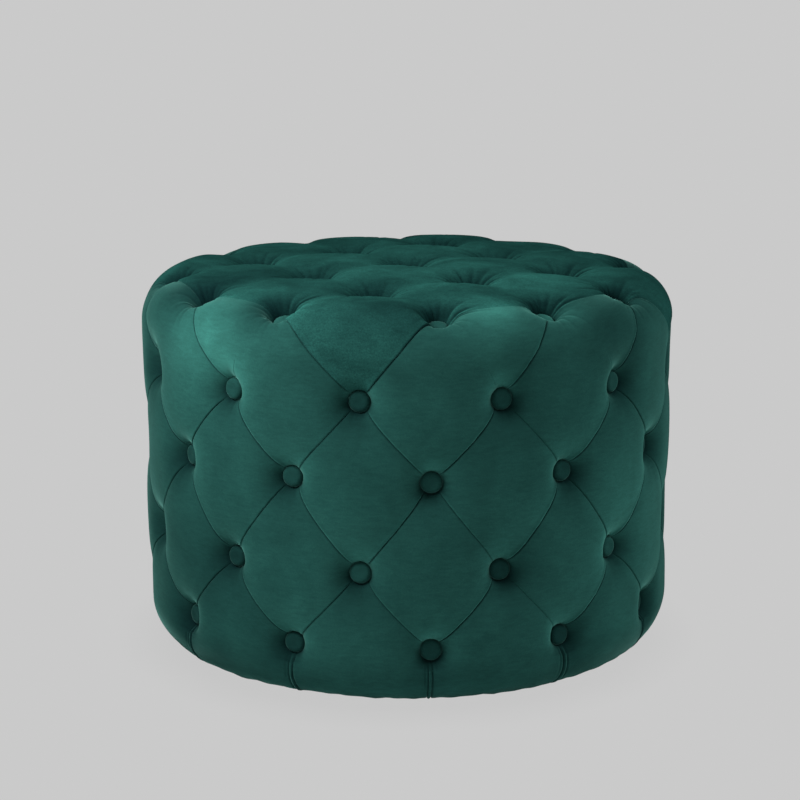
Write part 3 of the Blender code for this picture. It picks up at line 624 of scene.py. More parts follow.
    def lean_to_button(self, corner, numbers):
        """Near a button the velvet sinks along the button's own line, in small gathers round it, and gets
        painted shade beside the button, more below it.
        """
        centre, own_axis = over_the_padding(*places[corner])
        offset = self.spots[numbers] - centre
        away = np.linalg.norm(offset, axis=1)
        share = eased((LEAN_REACH - away) / LEAN_FADE)[:, None]
        mixed = share * own_axis + (1.0 - share) * self.normals[numbers]
        self.axis[numbers] = mixed / np.linalg.norm(mixed, axis=1)[:, None]
        side = np.cross(own_axis, ASLANT)
        side /= np.linalg.norm(side)
        turn = np.arctan2(offset @ np.cross(own_axis, side), offset @ side)
        pick = np.random.default_rng(row_number(corner[0]) * 41 + corner[1])
        count, deepest, longest = TOP_GATHERS if corner[0] in TOP_ROWS else SIDE_GATHERS
        gather = np.zeros(len(numbers))
        for i in range(count):
            line = (i + pick.uniform(-GATHER_JITTER, GATHER_JITTER)) * math.tau / count
            depth = pick.uniform(*GATHER_DEPTHS) * deepest
            length = pick.uniform(*GATHER_LENGTHS) * longest
            width = pick.uniform(*GATHER_WIDTHS) + GATHER_FLARE * away
            across = np.abs(np.remainder(turn - line + math.pi, math.tau) - math.pi) * away
            start = eased((away - GATHER_START) / GATHER_RISE)
            fade = start * eased((PIT_FLOOR + length - away) / length) ** 0.7
            gather += depth * fade * bell(across, width)
        if corner[0] == "rim":
            past_rim = self.sheet[numbers, 0] - RIM_TUFT_REACH
            gather *= 1.0 - OUTER_EASE * eased(past_rim / OUTER_EASE_LENGTH)
        self.gather[numbers] = gather
        # Painted shade beside the button's edge, darker below it, in place of its shadow
        below = np.clip(-offset[:, 2] / np.maximum(away, 1e-6), -1.0, 1.0)
        touch = bell(np.maximum(away - COVERED_RADIUS, 0.0), CONTACT_WIDTH)
        self.painted_contact_shade[numbers] = (CONTACT_SHADE + CONTACT_BELOW * below) * touch

    def fold_along(self, corner, other, crest, numbers):
        """The valley between two puffs and, on the side, the upper puff's folded edge over the lower."""
        rows = {corner[0], other[0]}
        if "knee" in rows:
            return
        spots = self.spots[numbers]
        shares = np.linspace(0.0, 1.0, LINE_STEPS + 1)
        line = over_the_padding(*between(places[corner], places[other], shares).T)[0]
        away, along, length = edge_distance(spots, line)
        from_ends = np.minimum(along, length - along)
        strength = np.clip((from_ends - PIT_FLOOR) / FOLD_FADE, 0.0, 1.0) * self.tightness(corner, other)
        depth = pleat_depth(corner, other)
        if depth is None:
            from_row = along if corner[0] == "row_2" else length - along
            strength = SLACK_FOLD * strength * np.clip((SLACK_LENGTH - from_row) / SLACK_FADE, 0.0, 1.0)
        else:
            soft = rows <= set(TOP_ROWS)
            fall = bell(away, PLEAT_TOP_SLOPE) if soft else np.exp(-away / PLEAT_SIDE_SLOPE)
            valley = depth * fall * eased(from_ends / PLEAT_FADE)
            self.valley[numbers] = np.maximum(self.valley[numbers], valley)
            if soft:
                return
        groove = FOLD_DEPTH * strength * bell(away, FOLD_WIDTH)
        self.groove[numbers] = np.maximum(self.groove[numbers], groove)
        middle = between(places[corner], places[other], 0.5)
        over = crest[0] < middle[0] - SAME_PLACE
        if abs(crest[0] - middle[0]) <= SAME_PLACE:
            over = math.remainder(crest[1] - middle[1], math.tau) > 0.0
        if not over:
            return
        towards = line[np.clip((along / length * LINE_STEPS).astype(int), 0, LINE_STEPS - 1)]
        inward = towards - spots
        inward -= (inward * self.normals[numbers]).sum(1)[:, None] * self.normals[numbers]
        size = np.maximum(np.linalg.norm(inward, axis=1), 1e-6)[:, None]
        lap = FOLD_LAP * strength * bell(away, LAP_WIDTH) * (1.0 - bell(away, LAP_START))
        self.slide[numbers] += inward / size * lap[:, None]
        self.lip[numbers] += FOLD_LIP * strength * bell(away - LIP_AWAY, LIP_WIDTH)

    def tightness(self, corner, other):
        """How sharply a pleat is pressed: more if it rises to the right than if it rises to the left."""
        first, second = sorted((corner, other))
        fall = places[second][0] - places[first][0]
        rise_right = math.remainder(places[second][1] - places[first][1], math.tau) * fall < 0.0
        pick = np.random.default_rng(row_number(first[0] + second[0]) * 31 + first[1] * 13 + second[1])
        return pick.uniform(*(RISING_RIGHT if rise_right else RISING_LEFT))

    def fold_foot(self):
        """A pair of pleats and a short third below each button of the lowest row, uneven round the stool."""
        reach, turn = self.sheet.T
        column = np.round((turn - FIRST_COLUMN) / COLUMN)
        across = (turn - FIRST_COLUMN - column * COLUMN) * PUFF_RADIUS
        start = places["row_5", 0][0] + PIT_FLOOR
        below = reach - start
        to_hem = np.clip((HEM_REACH - reach) / FOOT_PLEAT_END, 0.0, 1.0)
        fade = np.clip(below / FOOT_PLEAT_START, 0.0, 1.0) * to_hem
        drift = FOOT_PLEAT_DRIFT * np.sin(column * 2.4 - 1.2)
        drift = drift + FOOT_PLEAT_LEAN * below * np.sin(column * 1.7)
        fan = 1.0 + FOOT_PLEAT_FAN * below * np.clip(np.sin(column * 2.1), 0.0, 1.0)
        short = np.clip((start + SHORT_PLEAT - reach) / SHORT_PLEAT_FADE, 0.0, 1.0)
        for side, press in FOOT_PLEATS:
            line = drift + side * FOOT_PLEAT_SPREAD * fan * (1.0 + 0.2 * np.sin(column * 3.1 + side))
            length = 1.0 if press == 1.0 else short
            deep = FOLD_DEPTH * press * length * fade * bell(across - line, FOOT_PLEAT_WIDTH)
            self.groove = np.maximum(self.groove, deep)
        self.lip += FOOT_RIDGE * fade * bell(across - drift, 0.7 * FOOT_PLEAT_SPREAD * fan)

    def uneven_padding(self):
        """Hand-filled padding: slow lumps all over, and small ripples where the velvet rounds the edge."""
        lift = np.zeros(len(self.spots))
        to_edge = bell(self.sheet[:, 0] - FOOT_REACH + RIPPLE_ABOVE, RIPPLE_SPREAD)
        pins = np.array([self.pinned.get(number, 0.0) for number in range(len(lift))])
        for number, (x, y, z) in enumerate(self.spots):
            lift[number] = LUMPS * noise.noise((LUMP_RATE * x, LUMP_RATE * y, LUMP_RATE * z))
            if to_edge[number] > 0.02:
                ripple = noise.noise((RIPPLE_RATE * x, RIPPLE_RATE * y, RIPPLE_RATE_DOWN * z))
                lift[number] += RIPPLES * to_edge[number] * ripple
        return np.where(pins > 0.5 * SIDE_TUFT_DEPTH, 0.0, lift)

    def pieces(self):
        """One mesh for each panel, with its edges turned in along the folds."""
        faces = np.concatenate(self.faces)
        panels = np.array(self.panel_of_face)
        made = {}
        for panel in ("top_cover", "side_cover_front", "side_cover_back"):
            own = faces[panels == panel]
            used, renumbered = np.unique(own, return_inverse=True)
            quads = renumbered.reshape(own.shape)
            # Painted shade for the velvet's colour: in the fold grooves and the gathers, and beside the
            # buttons; the turned-in edges get it in full
            painted_crease_shade = self.groove / FOLD_DEPTH + GATHER_SHADE * self.gather / GATHER_TOP
            shade = np.maximum(painted_crease_shade, self.painted_contact_shade)
            points, shade = self.points[used], np.clip(shade[used], 0.0, 1.0)
            rim = self.free_edges(quads, used)
            ends = np.unique(rim)
            hidden = {end: len(points) + i for i, end in enumerate(ends)}
            points = np.concatenate([points, points[ends] - TURNED_IN * self.axis[used[ends]]])
            shade = np.concatenate([shade, np.ones(len(ends))])
            turned_in = [(b, a, hidden[a], hidden[b]) for a, b in rim]
            mesh = bpy.data.meshes.new(f"velvet_{panel}")
            mesh.from_pydata(points.tolist(), [], quads.tolist() + turned_in)
            mesh.attributes.new("fold_shade", "FLOAT", "POINT").data.foreach_set("value", shade)
            # Painted light, shade and sheen for the velvet's colour, with the pile's brushed patches
            pile_and_painted_light = self.pile_and_painted_light(panel, used)
            pile_and_painted_light = np.concatenate([pile_and_painted_light, pile_and_painted_light[ends]])
            mesh.attributes.new("pile_and_painted_light", "FLOAT", "POINT").data.foreach_set("value", pile_and_painted_light)
            mesh.shade_smooth()
            for face in mesh.polygons[len(quads):]:
                face.use_smooth = False
            made[panel] = add_piece(f"velvet_{panel}", mesh)
        return made

    def pile_and_painted_light(self, panel, used):
        """Painted light, shade and sheen for the velvet's colour: lighter where the velvet faces the way
        that the pile lies.
        """
        reach, turn = self.sheet[used].T
        ahead, behind = (over_the_padding(reach + step, turn)[0] for step in (NAP_STEP, -NAP_STEP))
        lie = (ahead - behind) / np.linalg.norm(ahead - behind, axis=1)[:, None]
        over_rim = eased((NAP_TURN_END - reach) / (NAP_TURN_END - RIM_TUFT_REACH))
        across = np.stack([np.cos(turn), np.sin(turn), np.zeros(len(used))], axis=-1)
        if panel == "top_cover":
            lie = np.sin(turn)[:, None] * across - np.cos(turn)[:, None] * lie
            aside = over_rim[:, None] * np.array([[-ACROSS_PAINTED_LIGHT, 0.0, 0.0]])
            level = along_cover(reach, TOP_LEVELS)
            contrast = TOP_PAINTED_LIGHT * over_rim
        else:
            aside = AROUND_PAINTED_LIGHT * np.sin(turn)[:, None] * across
            level = along_cover(reach, SIDE_LEVELS)
            contrast = SIDE_PAINTED_LIGHT * (1.0 - NAP_TURNBACK * over_rim)
        faces = np.concatenate(self.faces)
        slopes = np.cross(self.points[faces[:, 2]] - self.points[faces[:, 0]],
                          self.points[faces[:, 3]] - self.points[faces[:, 1]])
        facing = np.zeros_like(self.points)
        for i in range(4):
            np.add.at(facing, faces[:, i], slopes)
        facing = facing[used] / np.linalg.norm(facing[used], axis=1)[:, None]
        for patch_turn, patch_reach, spread, tone in PILE_PATCHES_AND_PAINTED_LIGHT:
            centre = over_the_padding(patch_reach, math.radians(patch_turn))[0]
            away = np.linalg.norm(self.spots[used] - centre, axis=1)
            level = level * tone ** bell(away, spread)
        sideways = np.clip((facing * aside).sum(1), -NAP_LIMIT, NAP_LIMIT)
        return level * np.exp(contrast * np.clip((facing * lie).sum(1), -NAP_LIMIT, NAP_LIMIT) + sideways)

    def free_edges(self, quads, used):
        """Edges that only one face has, in that face's direction, without the hem."""
        edges = np.concatenate([quads[:, [i, (i + 1) % 4]] for i in range(4)])
        ends = np.sort(edges, axis=1)
        _, place, count = np.unique(ends, axis=0, return_index=True, return_counts=True)
        single = edges[place[count == 1]]
        on_hem = (self.sheet[used[single], 0] > HEM_REACH).all(axis=1)
        return [tuple(int(end) for end in edge) for edge in single[~on_hem]]


def add_piece(name, data):
    piece = bpy.data.objects.new(name, data)
    bpy.context.scene.collection.objects.link(piece)
    return piece


def mesh_of(shape, name):
    mesh = bpy.data.meshes.new(name)
    shape.to_mesh(mesh)
    shape.free()
    mesh.shade_smooth()
    return mesh


# Covered buttons on their twine

def twine_anchor(row, turn):
    """Where the twine of a button is tied inside the frame."""
    deck_low, deck_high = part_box("top_deck")
    panel = deck_high[0]
    under_deck = deck_low[2] - TWINE_OFF_WOOD
    if row in ROW_HEIGHTS:
        return around(np.float64(panel - TWINE_OFF_WOOD), turn, ROW_HEIGHTS[row])
    if row == "rim":
        return around(np.float64(panel - RIM_TWINE_INSET), turn, under_deck)
    drop = OUTER_TWINE_DROP if row == "outer" else 0.0
    return around(np.float64(places[row, 0][0]), turn, under_deck - drop)


def add_button(shape, seat, seed, pile_and_painted_light):
    """One button in its velvet, puckered a little round its edge."""
    sides = BUTTON_SIDES
    rings = []
    tone = shape.verts.layers.float["pile_and_painted_light"]
    first = len(shape.verts)
    for step, (share, rise) in enumerate(BUTTON_OUTLINE):
        ring = []
        for i in range(sides):
            turn = math.tau * i / sides
            pucker = sum(deep * math.cos(count * turn + lag * seed) for deep, count, lag in BUTTON_PUCKERS)
            radius = COVERED_RADIUS * share * (1.0 + pucker * (step < PUCKERED_RINGS))
            spot = Vector((radius * math.cos(turn), radius * math.sin(turn), rise * BUTTON_HEIGHT))
            ring.append(shape.verts.new(seat @ spot))
        rings.append(ring)
    face = shape.verts.new(seat @ Vector((0.0, 0.0, BUTTON_DISH * BUTTON_HEIGHT)))
    for lower, upper in zip(rings, rings[1:]):
        for i in range(sides):
            shape.faces.new((lower[i], lower[(i + 1) % sides], upper[(i + 1) % sides], upper[i]))
    for i in range(sides):
        shape.faces.new((rings[-1][i], rings[-1][(i + 1) % sides], face))
    shape.faces.new(rings[0][::-1])
    # Every point of the button gets its tone, which holds the painted shade of its pit
    for vertex in list(shape.verts)[first:]:
        vertex[tone] = pile_and_painted_light


def standing_on(place, way):
    """The place and turn of something that stands there with its own up along this way."""
    return Matrix.Translation(place) @ way.to_track_quat("Z", "Y").to_matrix().to_4x4()


def add_twine(shape, start, end, radius=TWINE_RADIUS):
    """A straight length of twine, as the second material of its piece."""
    start, end = Vector(start), Vector(end)
    made = bmesh.ops.create_cone(shape, cap_ends=True, segments=10, radius1=radius, radius2=radius,
                                 depth=(end - start).length,
                                 matrix=standing_on((start + end) / 2.0, end - start))
    for vertex in made["verts"]:
        for face in vertex.link_faces:
            face.material_index = 1


def add_button_row(row):
    shape = bmesh.new()
    shape.verts.layers.float.new("pile_and_painted_light")
    anchors = []
    for corner in [corner for corner in places if corner[0] == row]:
        spot, axis = over_the_padding(*places[corner])
        pit = spot - axis * tuft_depth(corner)
        pick = np.random.default_rng(corner[1] * 29 + row_number(row) * 7)
        nod, roll = pick.uniform(-BUTTON_TILT, BUTTON_TILT), pick.uniform(-BUTTON_TILT, BUTTON_TILT)
        tilt = Matrix.Rotation(nod, 4, "X") @ Matrix.Rotation(roll, 4, "Y")
        seat = standing_on(Vector(pit + axis * SEAT_GAP), Vector(axis)) @ tilt
        # A random tone with painted shade of the pit, lighter on the rim
        seed, pile_and_painted_light = pick.uniform(0.0, 6.0), pick.uniform(*BUTTON_TONES)
        add_button(shape, seat, seed, RIM_BUTTON_TONE * pile_and_painted_light if row == "rim" else pile_and_painted_light)
        anchors.append(twine_anchor(row, places[corner][1]))
        add_twine(shape, pit, anchors[-1])
    if len(anchors) > 1:
        for start, end in zip(anchors, anchors[1:] + anchors[:1]):
            add_twine(shape, start, end)
    else:
        half = np.array([TOGGLE_HALF, 0.0, 0.0])
        add_twine(shape, anchors[0] - half, anchors[0] + half, TOGGLE_RADIUS)
    return add_piece(f"covered_buttons_{row}", mesh_of(shape, f"covered_buttons_{row}"))


# Foam under the cover and the dust cover below the frame

def pressed_in(spots, rows):
    """How far the twine presses the foam in at each point: a shallow dish and a pinched hole."""
    press = np.zeros(len(spots))
    for corner, place in places.items():
        if corner[0] in rows:
            centre, axis = over_the_padding(*place)
            offset = spots - centre
            away = np.linalg.norm(offset - (offset @ axis)[:, None] * axis, axis=1)
            press += DISH_DEPTH * bell(away, DISH_WIDTH) + PINCH_DEPTH * bell(away, PINCH_WIDTH)
    return press


def ring_faces(rings, sides, closed=False):
    """Faces between rings of points, and from the last ring back to the first if closed."""
    faces = []
    for row in range(rings if closed else rings - 1):
        upper = (row + 1) % rings
        for i in range(sides):
            j = (i + 1) % sides
            faces.append((row * sides + i, row * sides + j, upper * sides + j, upper * sides + i))
    return faces


def joined_piece(name, points, faces, near, outward=False):
    """A piece with its nearly equal points made one and, if asked for, all its faces turned outward."""
    mesh = bpy.data.meshes.new(name)
    mesh.from_pydata(points, [], faces)
    shape = bmesh.new()
    shape.from_mesh(mesh)
    bmesh.ops.remove_doubles(shape, verts=shape.verts, dist=near)
    if outward:
        bmesh.ops.recalc_face_normals(shape, faces=shape.faces)
    shape.to_mesh(mesh)
    shape.free()
    mesh.shade_smooth()
    return add_piece(name, mesh)


def turned_foam(name, outline, outer, rows):
    """Foam turned from a (radius, height) outline; the twine presses in points with the outer flag."""
    turns = np.arange(FOAM_SIDES) * math.tau / FOAM_SIDES
    points = np.concatenate([around(np.full(FOAM_SIDES, radius), turns, z) for radius, z in outline])
    flags = np.repeat(np.array(outer, float), FOAM_SIDES)
    inward = points * [1.0, 1.0, 0.0]
    inward /= np.maximum(np.linalg.norm(inward, axis=1), 1e-9)[:, None]
    if rows == TOP_ROWS:
        inward = np.tile([0.0, 0.0, 1.0], (len(points), 1))
    points -= inward * (flags * pressed_in(points, rows))[:, None]
    faces = ring_faces(len(outline), FOAM_SIDES, closed=outline[0][0] > 1e-6)
    return joined_piece(name, points.tolist(), faces, 1e-6, outward=True)


def rounded(start, corner, end, steps=8):
    """Points of a soft corner from start to end, pulled towards the corner."""
    shares = np.linspace(0.0, 1.0, steps)[:, None]
    start, corner, end = np.array(start), np.array(corner), np.array(end)
    curve = (1 - shares) ** 2 * start + 2 * shares * (1 - shares) * corner + shares ** 2 * end
    return [tuple(point) for point in curve]


def add_side_foam():
    low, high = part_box("side_foam")
    outer = FOAM_FIT * high[0]
    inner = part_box("wall_panel")[1][0] + FOAM_GAP
    bevel = 0.020
    pull = 0.4 * bevel
    soft = 0.002
    foot = rounded((outer - bevel, low[2]), (outer - pull, low[2] + pull), (outer, low[2] + bevel))
    wall = [(outer, z) for z in np.linspace(low[2] + bevel, high[2] - soft, SIDE_FOAM_ROWS)[1:]]
    top = [(outer - soft, high[2]), (inner + soft, high[2]), (inner, high[2] - soft)]
    back = [(inner, low[2] + soft), (inner + soft / 2.0, low[2])]
    flags = [False] * len(foot) + [True] * len(wall) + [False] * len(top + back)
    return turned_foam("side_foam_ring", foot + wall + top + back, flags, tuple(ROW_HEIGHTS))


def add_top_foam():
    low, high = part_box("top_foam")
    outer = FOAM_FIT * high[0]
    bevel = 0.026
    pull = 0.45 * bevel
    soft = 0.001
    top = [(radius, high[2]) for radius in np.linspace(0.0, outer - bevel, TOP_FOAM_RINGS)]
    edge = rounded((outer - bevel, high[2]), (outer - pull, high[2] - pull), (outer, high[2] - bevel))
    outline = top + edge[1:] + [(outer, low[2] + soft), (outer - soft, low[2]), (0.0, low[2])]
    flags = [True] * len(top) + [False] * (len(outline) - len(top))
    return turned_foam("top_foam_pad", outline, flags, TOP_ROWS)


def add_dust_cover():
    """Black cloth under the frame: it sags a little inside the ring, and its edge is folded double."""
    edge, _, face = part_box("dust_cover")[1]
    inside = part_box("base_ring")[1][0] - RING_WIDTH
    hem = edge - DUST_HEM
    radii = np.concatenate([np.linspace(0.0, hem - DUST_BEND, DUST_RINGS), [hem, hem + DUST_BEND],
                            np.linspace(hem + DUST_FLAT, edge, HEM_RINGS)])
    points = []
    for radius in radii:
        sag = DUST_SAG * max(0.0, 1.0 - (radius / inside) ** 2) ** 2
        double = DUST_DOUBLE if radius >= hem else 0.0
        near_edge = bell(edge - radius, DUST_PUCKER_REACH)
        for i in range(DUST_SIDES):
            turn = i * math.tau / DUST_SIDES
            pucker = DUST_PUCKER * near_edge * math.cos(DUST_PUCKERS * turn + 1.5 * math.sin(5 * turn))
            x = DUST_WAVES * math.sin(turn) * radius / inside
            y = DUST_WAVES * math.cos(turn) * radius / inside
            slack = DUST_SLACK * noise.noise((x, y, 3.0)) * max(0.0, 1.0 - (radius / inside) ** 4)
            z = face - DUST_GAP - sag - double + pucker + slack
            points.append(tuple(around(np.float64(radius), turn, z)))
    faces = [(b, a, d, c) for a, b, c, d in ring_faces(len(radii), DUST_SIDES)]
    return joined_piece("dust_cover_cloth", points, faces, 1e-7), edge


# Finishes

def add_node(tree, kind, inputs=None, **settings):
    """A node with its settings, and its inputs either set to a value or linked to another node's output."""
    node = tree.nodes.new(kind)
    for name, value in settings.items():
        setattr(node, name, value)
    for name, value in (inputs or {}).items():
        if isinstance(value, bpy.types.NodeSocket):
            tree.links.new(value, node.inputs[name])
        else:
            node.inputs[name].default_value = value
    return node


def build_mottle_group():
    """Uneven tone at a given size of patch, stretched along each axis, and the pattern as a height."""
    group = bpy.data.node_groups.new("mottle", "ShaderNodeTree")
    for name, kind, value in (("Patch Size", "NodeSocketFloat", 0.05), ("Low", "NodeSocketFloat", 0.8),
                              ("High", "NodeSocketFloat", 1.2), ("Detail", "NodeSocketFloat", 3.0),
                              ("Stretch", "NodeSocketVector", (1.0, 1.0, 1.0))):
        socket = group.interface.new_socket(name, in_out="INPUT", socket_type=kind)
        socket.default_value = value
    for name in ("Tone", "Height"):
        group.interface.new_socket(name, in_out="OUTPUT", socket_type="NodeSocketFloat")
    given = group.nodes.new("NodeGroupInput").outputs
    where = group.nodes.new("ShaderNodeTexCoord")
    stretch = add_node(group, "ShaderNodeVectorMath", {0: where.outputs["Object"], 1: given["Stretch"]},
                       operation="MULTIPLY")
    scale = add_node(group, "ShaderNodeMath", {0: 1.0, 1: given["Patch Size"]}, operation="DIVIDE")
    cloud = add_node(group, "ShaderNodeTexNoise",
                     {"Vector": stretch.outputs["Vector"], "Scale": scale.outputs["Value"],
                      "Detail": given["Detail"], "Roughness": 0.55, "Distortion": 0.6})
    spread = add_node(group, "ShaderNodeMapRange",
                      {"Value": cloud.outputs["Fac"], "From Min": 0.32, "From Max": 0.68,
                       "To Min": given["Low"], "To Max": given["High"]})
    add_node(group, "NodeGroupOutput", {"Tone": spread.outputs["Result"], "Height": cloud.outputs["Fac"]})
    return group


MOTTLE = build_mottle_group()


class Finish:
    """A material under construction, with short ways to add its colour, tone and bump."""

    def __init__(self, name, roughness, metallic=0.0):
        self.material = bpy.data.materials.new(name)
        self.material.use_nodes = True
        self.tree = self.material.node_tree
        self.shader = self.tree.nodes["Principled BSDF"]
        self.sets({"Roughness": roughness, "Metallic": metallic})

    def sets(self, values):
        for name, value in values.items():
            self.shader.inputs[name].default_value = value

    def node(self, kind, inputs=None, **settings):
        return add_node(self.tree, kind, inputs, **settings)

    def mottle(self, patch, low, high, detail=3.0, stretch=(1.0, 1.0, 1.0)):
        """Outputs of the mottle group with these values."""
        values = {"Patch Size": patch, "Low": low, "High": high, "Detail": detail, "Stretch": stretch}
        return self.node("ShaderNodeGroup", values, node_tree=MOTTLE).outputs

    def link(self, source, target):
        self.tree.links.new(source, self.shader.inputs[target])

    def times(self, *tones):
        """All these tones multiplied."""
        product = tones[0]
        for tone in tones[1:]:
            node = self.node("ShaderNodeMath", {0: product, 1: tone}, operation="MULTIPLY")
            product = node.outputs["Value"]
        return product

    def ranged(self, value, inputs):
        """A value brought to another range."""
        return self.node("ShaderNodeMapRange", {"Value": value, **inputs}).outputs["Result"]

    def colour(self, dark, light, tone, low=0.5, high=1.5):
        """Base colour between dark and light by tone."""
        share = self.ranged(tone, {"From Min": low, "From Max": high})
        mix = self.node("ShaderNodeMix", {"Factor": share, 6: (*dark, 1.0), 7: (*light, 1.0)},
                        data_type="RGBA")
        self.link(mix.outputs[2], "Base Color")

    def bump(self, height, strength, distance):
        node = self.node("ShaderNodeBump", {"Strength": strength, "Distance": distance, "Height": height})
        before = self.shader.inputs["Normal"].links
        if before:
            self.tree.links.new(before[0].from_socket, node.inputs["Normal"])
        self.link(node.outputs["Normal"], "Normal")


def emerald_velvet(name, low, high, grain, red, sheen):
    """Short-pile velvet: dark body, a teal sheen at the edges, pile brushed in patches, and painted light
    and shade from two attributes.
    """
    finish = Finish(name, 0.85)
    patches = finish.mottle(0.060, low, high, 4.0)
    brushed = finish.mottle(0.012, 0.90, 1.10, 3.0, (1.0, 1.0, 4.0))
    pile = finish.mottle(0.0016, 1.0 - grain, 1.0 + grain, 2.0)
    # The colour's tone carries painted shade from fold_shade, in grooves, gathers and beside the buttons,
    # and painted light, shade and sheen from the pile attribute
    fold = finish.node("ShaderNodeAttribute", attribute_name="fold_shade")
    deep = finish.ranged(fold.outputs["Fac"], {"To Min": 1.0, "To Max": 0.40})
    lie = finish.node("ShaderNodeAttribute", attribute_name="pile_and_painted_light")
    tone = finish.times(patches["Tone"], brushed["Tone"], pile["Tone"], deep, lie.outputs["Fac"])
    finish.colour((0.0010, 0.0040, 0.0052), (red, 0.1380, 0.1160), tone, 0.0, 2.5)
    finish.sets({"Specular IOR Level": 0.0, "Sheen Weight": sheen, "Sheen Roughness": 0.35,
                 "Sheen Tint": (0.40, 0.95, 0.82, 1.0)})
    finish.bump(brushed["Height"], 0.10, 0.0012)
    finish.bump(pile["Height"], 0.25, 0.0003)
    return finish.material


def cream_foam():
    finish = Finish("cream_foam", 0.95)
    patches = finish.mottle(0.090, 0.90, 1.08, 2.0)
    where = finish.node("ShaderNodeTexCoord").outputs["Object"]
    cells = finish.node("ShaderNodeTexVoronoi", {"Vector": where, "Scale": 520.0}).outputs["Distance"]
    cell_tone = finish.ranged(cells, {"From Max": 0.7, "To Min": 0.82, "To Max": 1.08})
    tone = finish.times(patches["Tone"], cell_tone)
    finish.colour((0.42, 0.34, 0.18), (0.92, 0.84, 0.60), tone, 0.5, 1.25)
    finish.bump(cells, 0.5, 0.0008)
    return finish.material


def birch_plywood():
    """Birch faces with long grain, and the plies showing as bands on the cut edges."""
    finish = Finish("birch_plywood", 0.6)
    grain = finish.mottle(0.010, 0.80, 1.15, 5.0, (1.0, 0.09, 1.0))
    patches = finish.mottle(0.080, 0.92, 1.08, 2.0)
    geometry = finish.node("ShaderNodeNewGeometry")
    normal = finish.node("ShaderNodeSeparateXYZ", {"Vector": geometry.outputs["Normal"]})
    upright = finish.node("ShaderNodeMath", {0: normal.outputs["Z"]}, operation="ABSOLUTE")
    on_edge = finish.ranged(upright.outputs["Value"], {"From Min": 0.6, "From Max": 0.3})
    where = finish.node("ShaderNodeTexCoord").outputs["Object"]
    plies = finish.node("ShaderNodeTexWave",
                        {"Vector": where, "Scale": 110.0, "Distortion": 0.6, "Detail": 1.0},
                        bands_direction="Z")
    band = finish.ranged(plies.outputs["Fac"], {"To Min": 0.72, "To Max": 1.05})
    shown = finish.node("ShaderNodeMix", {"Factor": on_edge, "A": 1.0, "B": band}, data_type="FLOAT")
    tone = finish.times(grain["Tone"], patches["Tone"], shown.outputs["Result"])
    finish.colour((0.26, 0.155, 0.075), (0.86, 0.66, 0.42), tone, 0.45, 1.3)
    finish.bump(grain["Height"], 0.15, 0.0005)
    return finish.material


def sawn_pine():
    """Sawn pine with its grain along the post and darker late wood."""
    finish = Finish("sawn_pine", 0.7)
    grain = finish.mottle(0.007, 0.75, 1.15, 4.0, (1.0, 1.0, 0.05))
    saw_marks = finish.mottle(0.0016, 0.94, 1.05, 2.0, (0.1, 0.1, 1.0))
    tone = finish.times(grain["Tone"], saw_marks["Tone"])
    finish.colour((0.36, 0.21, 0.09), (0.90, 0.70, 0.42), tone, 0.5, 1.3)
    finish.bump(saw_marks["Height"], 0.2, 0.0004)
    return finish.material


def zinc_steel():
    finish = Finish("zinc_steel", 0.36, 1.0)
    plating = finish.mottle(0.0030, 0.85, 1.12, 3.0)
    rub = finish.mottle(0.0008, 0.28, 0.46, 2.0)
    finish.colour((0.38, 0.37, 0.33), (0.74, 0.73, 0.68), plating["Tone"])
    finish.link(rub["Tone"], "Roughness")
    return finish.material


def black_cambric():
    """Thin black non-woven cloth: matted fibres and a fine grid of bonding dots."""
    finish = Finish("black_cambric", 0.92)
    fibres = finish.mottle(0.0015, 0.55, 1.45, 4.0, (1.0, 0.3, 1.0))
    cross = finish.mottle(0.0018, 0.70, 1.30, 4.0, (0.3, 1.0, 1.0))
    where = finish.node("ShaderNodeTexCoord").outputs["Object"]
    dots = finish.node("ShaderNodeTexVoronoi", {"Vector": where, "Scale": 620.0, "Randomness": 0.0})
    press = finish.ranged(dots.outputs["Distance"], {"From Min": 0.12, "From Max": 0.30})
    tone = finish.times(fibres["Tone"], cross["Tone"])
    finish.colour((0.006, 0.006, 0.0065), (0.042, 0.042, 0.044), tone, 0.3, 1.8)
    finish.bump(press, 0.4, 0.0003)
    return finish.material


def black_plastic():
    finish = Finish("black_plastic", 0.45)
    patches = finish.mottle(0.010, 0.8, 1.2, 3.0)
    scuffs = finish.mottle(0.0014, 0.38, 0.60, 3.0)
    finish.colour((0.014, 0.014, 0.014), (0.040, 0.040, 0.041), patches["Tone"])
    finish.link(scuffs["Tone"], "Roughness")
    finish.bump(scuffs["Height"], 0.15, 0.0002)
    return finish.material


def waxed_twine():
    finish = Finish("waxed_twine", 0.6)
    lay = finish.mottle(0.0012, 0.75, 1.2, 2.0)
    finish.colour((0.40, 0.33, 0.22), (0.82, 0.74, 0.58), lay["Tone"])
    finish.bump(lay["Height"], 0.5, 0.0004)
    return finish.material


# Dressing the frame

def dress(piece, slot, nodes, *finishes):
    for finish in finishes:
        piece.data.materials.append(finish)
    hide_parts(*nodes)
    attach(piece, "root")


